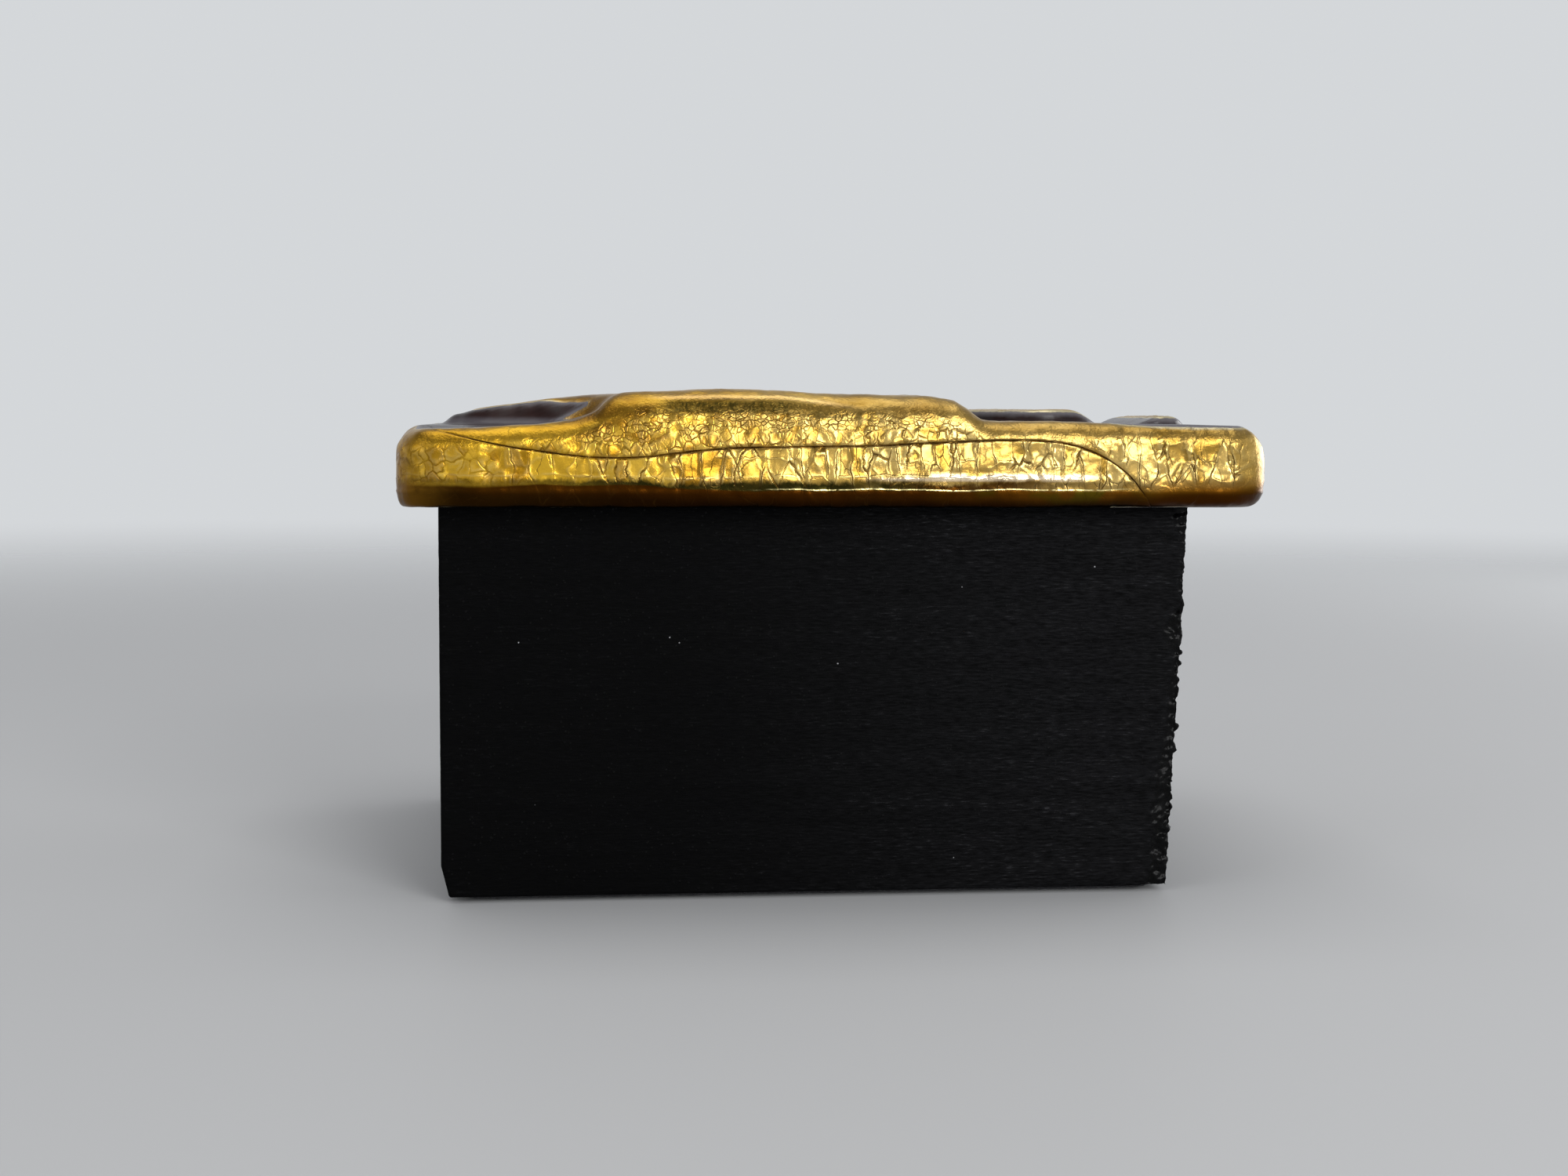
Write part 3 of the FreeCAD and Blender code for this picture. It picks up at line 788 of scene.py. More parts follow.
def settle(piece: bpy.types.Object, body: str, slot: str, material: bpy.types.Material,
           *nodes: str) -> bpy.types.Object:
    """Give a piece its finish and its body, and hide the nodes that it stands for.

    Args:
        piece: the piece.
        body: the body that it moves with.
        slot: not used.
        material: its finish.
        nodes: names of the nodes that it replaces.

    Returns:
        The piece.
    """
    piece.data.materials.clear()
    piece.data.materials.append(material)
    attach(piece, body)
    if nodes:
        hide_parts(*nodes)
    LOG.info("%s: %d faces", piece.name, len(piece.data.polygons))
    return piece


# The lid
@dataclass
class HeightMap:
    """Heights over the lid's plan, on an even grid."""

    low: Array
    step: float
    values: Array

    def softened(self, spread: float) -> "HeightMap":
        """Return the map blurred by a spread in millimetres."""
        reach = int(3 * spread / self.step) + 1
        kernel = np.exp(-0.5 * (np.arange(-reach, reach + 1) * self.step / spread) ** 2)
        kernel /= kernel.sum()
        padded = np.pad(self.values, reach, mode="edge")
        for axis in (0, 1):
            padded = np.apply_along_axis(np.convolve, axis, padded, kernel, "valid")
        return HeightMap(self.low, self.step, padded)

    def at(self, places: Array) -> Array:
        """Return the heights at places in plan."""
        spot = (places[:, :2] - self.low) / self.step
        spot = np.clip(spot, 0, np.array(self.values.shape) - 1.001)
        cell = spot.astype(int)
        part = spot - cell
        x, y = cell[:, 0], cell[:, 1]
        near = self.values[x, y] * (1 - part[:, 0]) + self.values[x + 1, y] * part[:, 0]
        far = self.values[x, y + 1] * (1 - part[:, 0]) + self.values[x + 1, y + 1] * part[:, 0]
        return near * (1 - part[:, 1]) + far * part[:, 1]


def node_tree_of(names: Sequence[str], nodes: dict) -> BVHTree:
    """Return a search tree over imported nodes, in millimetres."""
    points, faces = [], []
    for name in names:
        mesh = nodes[name].data
        start = len(points)
        points.extend(mesh_points(mesh).tolist())
        faces.extend([start + corner for corner in face.vertices] for face in mesh.polygons)
    return BVHTree.FromPolygons(points, faces)


SLAB_NODES = ("lid_lower_slab", "lid_upper_slab")
PLATE_NODES = ("right_plate", "low_plate", "middle_plate", "back_left_plate", "corner_plate",
               "back_plate", "back_right_plate", "bead_plate")


@dataclass
class CeramicLid:
    """The glazed lid: two luted clay slabs and the plates of relief on top.

    lip_line is the height of the front lip over the slab's top at places along the front.
    seam_line is the joint between the slabs, its places and heights as shares of half the length
    and of the thickness. plate_ends are the places where a plate thins out and where it is full,
    and how they slant towards the back.
    """

    nodes: dict
    corner: float = 7.0
    shoulder: float = 3.4
    hump_shoulder: float = 5.6
    under_rise: float = 4.2
    under_inset: tuple = (1.3, 3.3)
    thickness: float = 13.2
    hump_rise: float = 6.1
    bay: tuple = (-31.0, -47.0)
    bay_radius: float = 7.5
    crest_drop: float = 0.5
    roll_height: float = 4.5
    counts: tuple = (330, 205)
    edge_rows: tuple = (15, 19, 22)
    lip_line: tuple = ((-75.0, -0.60), (-61.4, -0.53), (-57.8, -0.38), (-53.0, -0.12),
                       (-47.1, 0.23), (-43.7, 0.67), (-41.3, 1.07), (-39.5, 1.60), (-38.0, 2.30),
                       (19.9, 4.79), (21.9, 4.42), (23.9, 3.14), (25.2, 1.98), (26.3, 1.30),
                       (27.8, 1.10), (37.8, 1.08), (45.7, 0.86), (54.0, 0.71), (61.8, 0.66),
                       (66.0, 0.55), (75.0, 0.35))
    plate_ends: dict = field(default_factory=lambda: {
        "right_plate": ((52.6, 45.0, 0.0),), "low_plate": ((54.6, 61.5, 0.0), (68.6, 63.5, 0.0)),
        "back_right_plate": ((57.6, 52.0, 0.245),), "back_left_plate": ((-64.5, -56.5, 0.0),)})
    dark_ends: tuple = ("low_plate", "back_left_plate")
    seam_line: tuple = ((-0.99, 1.35), (-0.96, 1.06), (-0.85, 0.87), (-0.69, 0.70), (-0.49, 0.61),
                        (-0.26, 0.73), (0.07, 0.77), (0.38, 0.845), (0.54, 0.775), (0.65, 0.47),
                        (0.72, 0.02), (0.76, -0.30))
    clay: ClayNoise = field(default_factory=lambda: ClayNoise(11))

    def __post_init__(self) -> None:
        """Read the lid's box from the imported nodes."""
        lows, highs = zip(*(box_of(name) for name in SLAB_NODES))
        low, high = np.min(lows, 0), np.max(highs, 0)
        self.middle = (low + high)[:2] / 2
        self.half = (high - low)[:2] / 2
        self.underside = float(low[2])
        self.top = self.underside + self.thickness
        self.soft_top = self.read_heights(SLAB_NODES, self.top, self.shoulder + 0.3).softened(0.95)
        self.crests = self.find_crests()
        self.stands = self.read_heights(PLATE_NODES, 0.0, 0.0)
        self.stands.values = (self.stands.values > 0.0).astype(float)
        self.plinths = self.stands.softened(1.6)
        self.shape_top()

    def read_heights(self, names: Sequence[str], empty: float, margin: float) -> HeightMap:
        """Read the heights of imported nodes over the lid's plan.

        Args:
            names: the nodes.
            empty: the value where none of them is.
            margin: width of the border that takes the height found at its inner edge.

        Returns:
            The heights on an even grid.
        """
        tree = node_tree_of(names, self.nodes)
        low = self.middle - self.half
        reach = self.half - margin
        values = np.full(tuple((2 * self.half / GRID_STEP).astype(int) + 1), empty)
        for place in np.ndindex(*values.shape):
            spot = low + np.array(place) * GRID_STEP
            spot = np.clip(spot, self.middle - reach, self.middle + reach)
            hit = tree.ray_cast(Vector((*spot, OVERHEAD)), Vector((0, 0, -1)))[0]
            if hit is not None:
                values[place] = hit.z
        return HeightMap(low, GRID_STEP, values)

    def inset_of(self, points: Array) -> Array:
        """Return how far inside the lid's plan each point lies."""
        off = np.abs(points[:, :2] - self.middle) - (self.half - self.corner)
        outside = np.hypot(np.maximum(off[:, 0], 0), np.maximum(off[:, 1], 0))
        return self.corner - outside - np.minimum(np.max(off, 1), 0)

    def seam_height(self, points: Array) -> Array:
        """Return the height of the joint between the slabs at each point in plan."""
        back = (points[:, 1] - (self.middle[1] - self.half[1])) / (2 * self.half[1])
        behind = points[:, [1]] * (1.0, 0.0, 0.0)
        drift = 5.0 * back * self.clay.at(behind, 22.0)
        share = (points[:, 0] + drift - self.middle[0]) / self.half[0]
        fine = catmull_rom(np.array(self.seam_line), 12)
        fine = fine[np.argsort(fine[:, 0])]
        return self.underside + np.interp(share, *fine.T) * self.thickness

    def gild_of(self, points: Array) -> Array:
        """Return how far inside the gold each point lies; below 0 it is dark glaze."""
        inset = self.inset_of(points)
        right = smooth_step(44.0, 58.0, points[:, 0]) * smooth_step(-20.0, -50.0, points[:, 1])
        wander = 0.55 * self.clay.layered(ring_at(points[:, :2], 0.0), 9.0, 2)
        band = 3.5 - 1.1 * right + (1.0 - 0.75 * right) * wander
        border = band - inset
        low = points[:, 2] < self.top - self.shoulder
        border = np.where(low, np.maximum(border, 2.0), border)
        border = np.where(points[:, 2] < self.underside + 0.2, 2.1 - inset, border)
        raised = 2.4 * (self.crests.at(points) - 0.5) + 0.12 * wander
        bay = self.bay_radius + 0.7 * wander - self.bay_reach(points)
        flank = 3.0 * (self.soft_top.at(points) - self.top - 0.9)
        west = np.minimum(points[:, 0] + 46.0, 36.0 - points[:, 0])
        back = -45.6 - points[:, 1] + 1.2 * wander
        flank = np.minimum.reduce([flank, back, west])
        saddle = 9.0 - np.hypot(points[:, 0] + 29.0, 0.9 * (points[:, 1] + 52.0)) + 0.9 * wander
        return np.maximum.reduce([border, raised, bay, flank, saddle])

    def bay_reach(self, points: Array) -> Array:
        """Return each point's distance from the middle of the saddle that ends the left hollow."""
        return np.hypot(points[:, 0] - self.bay[0], 0.8 * (points[:, 1] - self.bay[1]))

    def foot_of(self, points: Array) -> Array:
        """Return the height of each point over the top of the amber band."""
        across = points[:, 0]
        level = 2.85 + smooth_step(-12.0, -34.0, across) + 0.9 * smooth_step(46.0, 62.0, across)
        wander = 0.22 * self.clay.layered(ring_at(points[:, :2], 0.0), 8.0, 2)
        return points[:, 2] - self.underside - level - wander

    def find_crests(self) -> HeightMap:
        """Return 1 on the flat crests of what stands up from the slab, softly edged."""
        reach = int(2.5 / self.soft_top.step)
        local = self.soft_top.values
        for axis in (0, 1):
            border = [(reach, reach) if axis == k else (0, 0) for k in (0, 1)]
            padded = np.pad(local, border, mode="edge")
            views = np.lib.stride_tricks.sliding_window_view(padded, 2 * reach + 1, axis)
            local = views.max(axis=-1)
        crest = (self.soft_top.values > local - self.crest_drop) & (local > self.top + 0.8)
        return HeightMap(self.soft_top.low, self.soft_top.step, crest.astype(float)).softened(0.6)

    def shape_top(self) -> None:
        """Bed the plates into the top, and draw its front lip and the ends of the hump."""
        low, step, shape = self.stands.low, self.stands.step, self.stands.values.shape
        across = (low[0] + step * np.arange(shape[0]))[:, None]
        back = (low[1] + step * np.arange(shape[1]))[None, :]
        heights = self.soft_top.values + 0.25 * self.stands.softened(0.75).values
        heights -= 1.2 * bell(across + 37.6, 2.5) * smooth_step(-45.0, -49.0, back)
        heights += 0.6 * bell(across + 61.6, 1.3) * window(back, -40.0, -36.0, -18.0, -14.0)
        lip = self.top + np.interp(across, *np.array(self.lip_line).T)
        share = smooth_step(-36.0, -39.0, across) + smooth_step(18.6, 20.4, across)
        heights += (lip - heights) * share * smooth_step(-45.5, -50.5, back)
        eased = HeightMap(low, step, heights).softened(1.5).values
        for middle in (-38.5, 23.5):
            off = np.hypot(across - middle, 1.2 * (back + 44.0))
            heights += (eased - heights) * smooth_step(9.0, 4.5, off)
        self.soft_top = HeightMap(low, step, heights)

    def edge_rings(self) -> list[Array]:
        """Return rings of corners up the lid's edge: its rounded foot, its wall, its shoulder."""
        loop, outward = rounded_loop(*self.half, self.corner, self.counts, tuple(self.middle))
        around = ring_at(loop, 0.0)
        stand = 0.55 * smooth_step(0.3, 0.9, outward[:, 0]) - 0.22
        loop = loop + outward * (0.22 * self.clay.layered(around, 14.0, 2) + stand)[:, None]
        level = self.soft_top.at(loop - outward * 2.0)
        lift = np.clip((level - self.top) / self.hump_rise, 0, 1)
        radius = self.shoulder + (self.hump_shoulder - self.shoulder) * lift
        for stretch, way in ((1.7, 1.0), (0.8, -1.0)):
            radius = radius + stretch * smooth_step(0.5, 0.95, way * outward[:, 0])
        rolled = self.clay.layered(around + 9.0, 7.0, 2)
        bead = 0.10 + 0.08 * self.clay.layered(around, 5.0, 2)
        faces_front = smooth_step(0.5, 0.9, -outward[:, 1])
        glare = self.glare_span(loop[:, 0]) * faces_front
        lipped = self.hump_span(loop[:, 0]) * faces_front
        left_tuck, right_tuck = self.under_inset
        tucked = left_tuck + (right_tuck - left_tuck) * smooth_step(30.0, 70.0, loop[:, 0])

        def swell(height: float | Array) -> Array:
            """Return how far the roll at the foot of the wall stands out."""
            over = height - self.underside - self.roll_height
            slope = np.clip(1 - (over - 0.1) / 1.2, 0, 1) * smooth_step(-0.7, 0.1, over)
            return (1 - glare) * bead * bell(over, 0.65) + 0.22 * glare * slope

        rings = []
        under_rows, wall_rows, shoulder_rows = self.edge_rows
        for angle in np.linspace(0, math.pi / 2, under_rows, endpoint=False):
            rise = self.under_rise * (1 - math.cos(angle))
            roll = (0.10 + 0.05 * rolled) * bell(rise - 2.45, 0.30)
            inset = tucked * (1 - math.sin(angle)) ** 1.3 - roll - swell(self.underside + rise)
            rings.append(ring_at(loop - outward * inset[:, None], self.underside + rise))
        start = self.underside + self.under_rise
        for share in np.linspace(0, 1, wall_rows, endpoint=False):
            height = start + (level - radius - start) * share
            lean = 1.1 * lift * share**2 - swell(height)
            rings.append(ring_at(loop - outward * lean[:, None], height))
        for angle in np.linspace(0, math.pi / 2, shoulder_rows + 1):
            inset = 1.1 * lift + radius * (1 - math.cos(angle))
            place = loop - outward * inset[:, None]
            drop = radius * (1 - math.sin(angle))
            blend = math.sin(angle) ** 2
            height = level * (1 - blend) + self.soft_top.at(place) * blend - drop
            over = height - self.crest_height(loop[:, 0])
            lip = 0.10 * bell(over, 0.42) - 0.24 * bell(over + 1.5, 0.8)
            place = place + outward * (lipped * lip * math.cos(angle))[:, None]
            rings.append(ring_at(place, height + lipped * lip * math.sin(angle)))
        return rings

    def build_shell(self) -> bpy.types.Object:
        """Return the whole lid's smooth clay skin as one closed mesh."""
        rings = self.edge_rings()
        edge_points = np.concatenate(rings)
        columns = len(rings[0])
        faces = stack_faces(len(rings), columns).tolist()
        faces.append(list(range(columns))[::-1])
        cap, cap_faces = self.top_cap(rings[-1], len(edge_points) - columns, len(edge_points))
        return new_piece("lid_skin", np.concatenate([edge_points, cap]), faces + cap_faces)

    def top_cap(self, border: Array, border_start: int, inner_start: int) -> tuple[Array, list]:
        """Fill the top with a grid that follows the heights.

        Args:
            border: the last ring round the shoulder.
            border_start: number of that ring's first corner.
            inner_start: number that the first new corner will have.

        Returns:
            The new corners and all the grid's faces.
        """
        nx, ny = self.counts
        front = border[:nx + 1]
        right = border[nx:nx + ny + 1]
        back = border[nx + ny:2 * nx + ny + 1][::-1]
        left = np.concatenate([border[2 * nx + ny:], border[:1]])[::-1]
        u = np.linspace(0, 1, nx + 1)[:, None, None]
        v = np.linspace(0, 1, ny + 1)[None, :, None]
        grid = (1 - v) * front[:, None] + v * back[:, None] + (1 - u) * left[None] + u * right[None]
        grid -= ((1 - u) * (1 - v) * front[0] + u * (1 - v) * front[-1]
                 + (1 - u) * v * back[0] + u * v * back[-1])
        inner = grid[1:-1, 1:-1].reshape(-1, 3)
        inner[:, 2] = self.soft_top.at(inner)
        numbers = np.zeros((nx + 1, ny + 1), int)
        ring = border_start + np.arange(2 * (nx + ny))
        numbers[:, 0] = ring[:nx + 1]
        numbers[nx, :] = ring[nx:nx + ny + 1]
        numbers[:, ny] = ring[nx + ny:2 * nx + ny + 1][::-1]
        numbers[0, 1:] = ring[2 * nx + ny:][::-1]
        numbers[1:-1, 1:-1] = inner_start + np.arange(len(inner)).reshape(nx - 1, ny - 1)
        faces = np.stack([numbers[:-1, :-1], numbers[1:, :-1],
                          numbers[1:, 1:], numbers[:-1, 1:]], -1)
        return inner, faces.reshape(-1, 4).tolist()

    def relief_group(self) -> bpy.types.NodeTree:
        """Return the geometry group that presses the puckered glaze into a mesh."""
        name = "pucker_relief"
        if name in bpy.data.node_groups:
            return bpy.data.node_groups[name]
        skin = {"Geometry": "NodeSocketGeometry"}
        bench, ins, outs = new_group(name, "GeometryNodeTree", skin, skin)

        def kept(label: str, kind: str = "FLOAT") -> Value:
            """Return what the mesh keeps under a name."""
            return bench.result("GeometryNodeInputNamedAttribute", "Attribute", {"Name": label},
                                data_type=kind)

        rest = kept("rest", "FLOAT_VECTOR")
        found = lay_crackle(bench, rest, *(kept(label) for label in ("seam", "satin", "foot")))
        depth = found["Relief"] * kept("gild").rise(-0.3, 0.4, 0.1, 1.0) * MM
        normal = bench.result("GeometryNodeInputNormal", 0)
        offset = bench.result("ShaderNodeVectorMath", 0, {0: normal, 3: depth}, operation="SCALE")
        moved = bench.result("GeometryNodeSetPosition", 0, {**ins, "Offset": offset})
        bench.join(outs.inputs[0], moved)
        return bench.tree

    def press_relief(self, piece: bpy.types.Object) -> None:
        """Press the puckers into a piece that keeps rest, seam, satin, foot and gild."""
        modifier = piece.modifiers.new("puckers", "NODES")
        modifier.node_group = self.relief_group()
        apply_modifiers(piece)

    def brown_and_shade_of(self, points: Array) -> Array:
        """Return how brown the gold is: browner round the end of the left hollow, and painted shade
        at the left end, under the hump's left flank and at the dent by its right end.
        """
        across, rise = points[:, 0], points[:, 2] - self.top
        front = smooth_step(-34.0, -38.0, points[:, 1])
        bay = window(across, -46.0, -41.0, -37.5, -26.0) * front
        bay *= smooth_step(0.3, 1.3, rise - 0.12 * (across + 38.0))
        end = 0.85 * smooth_step(-59.0, -70.5, across) * smooth_step(-20.0, -45.0, points[:, 1])
        below = rise - 0.45 * (across + 37.3)
        flank = window(below, -2.3, -0.6, -0.3, 0.3) * window(across, -44.0, -40.0, -32.0, -25.0)
        flank *= smooth_step(-50.0, -54.0, points[:, 1])
        dent = 0.35 * smooth_step(1.2, 0.4, self.dent_reach(points))
        dent *= smooth_step(-48.0, -51.0, points[:, 1])
        return np.maximum.reduce([0.85 * bay, end, 0.8 * flank, dent])

    def dent_reach(self, points: Array) -> Array:
        """Return each point's distance from the dent at the hump's right end, 1 at its rim."""
        return np.hypot((points[:, 0] - 14.5) / 7.0, (points[:, 2] - self.top - 3.0) / 1.6)

    def glare_span(self, across: Array) -> Array:
        """Return 1 along the stretch of the front whose foot is rolled smooth."""
        return window(across, 4.0, 14.0, 38.0, 48.0)

    def hump_span(self, across: Array) -> Array:
        """Return 1 along the stretch of the hump whose top is rolled over a groove."""
        return window(across, -31.0, -24.0, -4.0, 9.0)

    def crest_height(self, across: Array) -> Array:
        """Return the height of the rolled crest over that groove."""
        return self.top + 4.75 - 1.7 * smooth_step(-8.0, 8.0, across)

    def painted_highlight_of(self, points: Array) -> Array:
        """Return where a highlight is painted: on the hump's crest, on the roll at the foot and at
        the right end.
        """
        across = points[:, 0]
        crest = smooth_step(0.55, 0.15, np.abs(points[:, 2] - self.crest_height(across)))
        crest *= self.hump_span(across) * smooth_step(-48.0, -51.0, points[:, 1])
        over = points[:, 2] - self.underside - self.roll_height
        roll = window(over, -0.20, 0.15, 0.6, 1.3) * self.glare_span(across)
        roll *= smooth_step(-48.0, -54.0, points[:, 1])
        patches = smooth_step(-0.45, 0.1, self.clay.layered(points * (0.35, 1.0, 1.0), 1.5, 2))
        end = smooth_step(72.2, 74.2, across) * window(points[:, 2], 69.3, 71.5, 76.5, 78.6)
        end *= smooth_step(-36.0, -50.0, points[:, 1])
        return np.maximum.reduce([0.22 * crest, roll * patches, 0.35 * end])

    def painted_groove_shade_of(self, points: Array) -> Array:
        """Return how strongly shade is painted in the groove under the hump's crest."""
        across = points[:, 0]
        below = self.crest_height(across) - points[:, 2]
        groove = window(below, 0.3, 0.9, 2.1, 2.9) * window(across, -29.0, -24.0, -2.0, 9.0)
        groove *= 0.55 + 0.45 * smooth_step(-3.0, -9.0, across)
        return groove * smooth_step(-51.0, -53.0, points[:, 1])

    def satin_of(self, points: Array) -> Array:
        """Return how smooth the glaze lies: most at the shoulders and the foot."""
        across = points[:, 0]
        below = self.soft_top.at(points) - points[:, 2]
        edge = 0.9 * smooth_step(4.6, 1.6, below + 0.9 * self.clay.at(points, 6.0))
        inside = 0.45 * smooth_step(4.0, 9.0, self.inset_of(points))
        over = self.foot_of(points)
        foot = 0.85 * smooth_step(0.9, -0.3, over)
        rolled = 0.72 * window(over, 0.7, 1.3, 2.8, 3.9)
        rolled *= self.glare_span(across) * smooth_step(-40.0, -50.0, points[:, 1])
        bay = 0.9 * smooth_step(-27.0, -34.0, across)
        bay *= smooth_step(0.6, 1.6, points[:, 2] - self.top)
        dent = 0.85 * smooth_step(1.3, 0.6, self.dent_reach(points))
        end = 0.85 * smooth_step(68.5, 72.0, across)
        return np.clip(np.maximum.reduce([edge - inside, foot, rolled, bay, dent, end]), 0, 1)

    def cut_slab(self, skin: bpy.types.Object, name: str, upper: bool) -> bpy.types.Object:
        """Cut one slab from a copy of the skin, along the joint.

        Args:
            skin: the lid's whole skin, which keeps its height over the joint as seam.
            name: the slab's name.
            upper: whether it is what lies over the joint.

        Returns:
            The closed slab.
        """
        bm = bmesh.new()
        bm.from_mesh(skin.data)
        seam = bm.verts.layers.float["seam"]
        height = bm.verts.layers.float.new("height")
        for vert in bm.verts:
            vert[height] = vert.co.z
            vert.co.z = vert[seam] * MM
        cut = bmesh.ops.bisect_plane(
            bm, geom=bm.verts[:] + bm.edges[:] + bm.faces[:], dist=1e-9, plane_co=(0, 0, 0),
            plane_no=(0, 0, 1), clear_outer=not upper, clear_inner=upper)
        edges = [item for item in cut["geom_cut"] if isinstance(item, bmesh.types.BMEdge)]
        bm.normal_update()
        rim = {vert for edge in edges for vert in edge.verts}
        inward = {vert: vert.normal.copy() for vert in rim}
        bmesh.ops.triangle_fill(bm, use_beauty=True, use_dissolve=False, edges=edges)
        for vert in bm.verts:
            vert.co.z = vert[height]
        for vert in rim:
            across, rise = vert.co.x / MM, vert.co.z / MM - self.underside
            shut = 0.25 + 0.75 * smooth_step(-62.0, -58.0, across) * smooth_step(1.2, 2.6, rise)
            vert.co -= inward[vert] * 0.16 * shut * MM
        for edge in edges:
            if edge.is_valid:
                edge.smooth = False
        bm.verts.layers.float.remove(height)
        mesh = bpy.data.meshes.new(name)
        bmesh.ops.recalc_face_normals(bm, faces=bm.faces[:])
        bm.to_mesh(mesh)
        bm.free()
        return new_object(name, mesh)

    def build_slabs(self, glaze: GoldCrackleGlaze, material: bpy.types.Material) -> None:
        """Build, press, part and dress the two slabs."""
        skin = self.build_shell()
        points = mesh_points(skin.data)
        store(skin.data, "rest", points * MM)
        store(skin.data, "seam", points[:, 2] - self.seam_height(points))
        for name, values_of in (("gild", self.gild_of), ("satin", self.satin_of),
                                ("scorch", self.brown_and_shade_of), ("foot", self.foot_of),
                                ("smoke", self.painted_groove_shade_of), ("lustre", self.painted_highlight_of)):
            store(skin.data, name, values_of(points))
        self.press_relief(skin)
        for name, upper, node in (("luted_lower_slab", False, "lid_lower_slab"),
                                  ("luted_upper_slab", True, "lid_upper_slab")):
            settle(self.cut_slab(skin, name, upper), "lid", glaze.slot, material, node)
        bpy.data.objects.remove(skin)

    def thumbed_copy(self, name: str) -> bpy.types.Object:
        """Return a copy of an imported plate with its edges thumbed soft."""
        piece = new_object("clay_" + name, self.nodes[name].data.copy())
        remesh = piece.modifiers.new("clay", "REMESH")
        remesh.mode = "VOXEL"
        remesh.voxel_size = 0.5 * MM
        smoother = piece.modifiers.new("thumbed", "SMOOTH")
        smoother.factor = 0.6
        smoother.iterations = 10
        apply_modifiers(piece)
        piece.data.shade_smooth()
        return piece

    def build_plate(self, name: str, glaze: GoldCrackleGlaze, material: bpy.types.Material) -> None:
        """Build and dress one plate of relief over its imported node."""
        piece = self.thumbed_copy(name)
        points = mesh_points(piece.data)
        low, high = points[:, 2].min(), points[:, 2].max()
        points += mesh_normals(piece.data) * (0.12 * self.clay.layered(points, 6.0, 2))[:, None]
        points[:, 2] = np.maximum(points[:, 2], low)
        move_points(piece.data, points)
        wander = 0.10 * self.clay.layered(points, 5.0, 2)
        gild = points[:, 2] - (high - 0.38) + wander
        share = np.ones(len(points))
        for foot, full, slant in self.plate_ends.get(name, ()):
            across = points[:, 0] - slant * points[:, 1]
            share *= smooth_step(0.0, 1.0, (across - foot) / (full - foot))
        points[:, 2] = low + (points[:, 2] - low) * (0.08 + 0.92 * share)
        move_points(piece.data, points)
        if name in self.dark_ends:
            gild = np.minimum(gild, points[:, 2] - (high - 0.32) + 0.5 * wander)
        buried = self.plinths.at(points)
        gild += 1.6 * smooth_step(0.66, 0.92, buried) * smooth_step(0.0, 0.25, gild)
        store(piece.data, "rest", points * MM)
        for label in ("seam", "foot"):
            store(piece.data, label, np.full(len(points), OUT_OF_REACH))
        store(piece.data, "gild", gild)
        store(piece.data, "satin", smooth_step(0.99, 0.80, buried) * 0.5 + 0.48)
        self.press_relief(piece)
        settle(piece, "lid", glaze.slot, material, name)


def catmull_rom(knots: Array, steps: int) -> Array:
    """Return a smooth line through knots, with steps points between each two."""
    ends = np.concatenate([[2 * knots[0] - knots[1]], knots, [2 * knots[-1] - knots[-2]]])
    share = np.linspace(0, 1, steps, endpoint=False)[:, None]
    line = []
    for a, b, c, d in zip(ends, ends[1:], ends[2:], ends[3:]):
        line.append(0.5 * (2 * b + (c - a) * share + (2 * a - 5 * b + 4 * c - d) * share**2
                           + (3 * b - a - 3 * c + d) * share**3))
    return np.concatenate(line + [knots[-1:]])


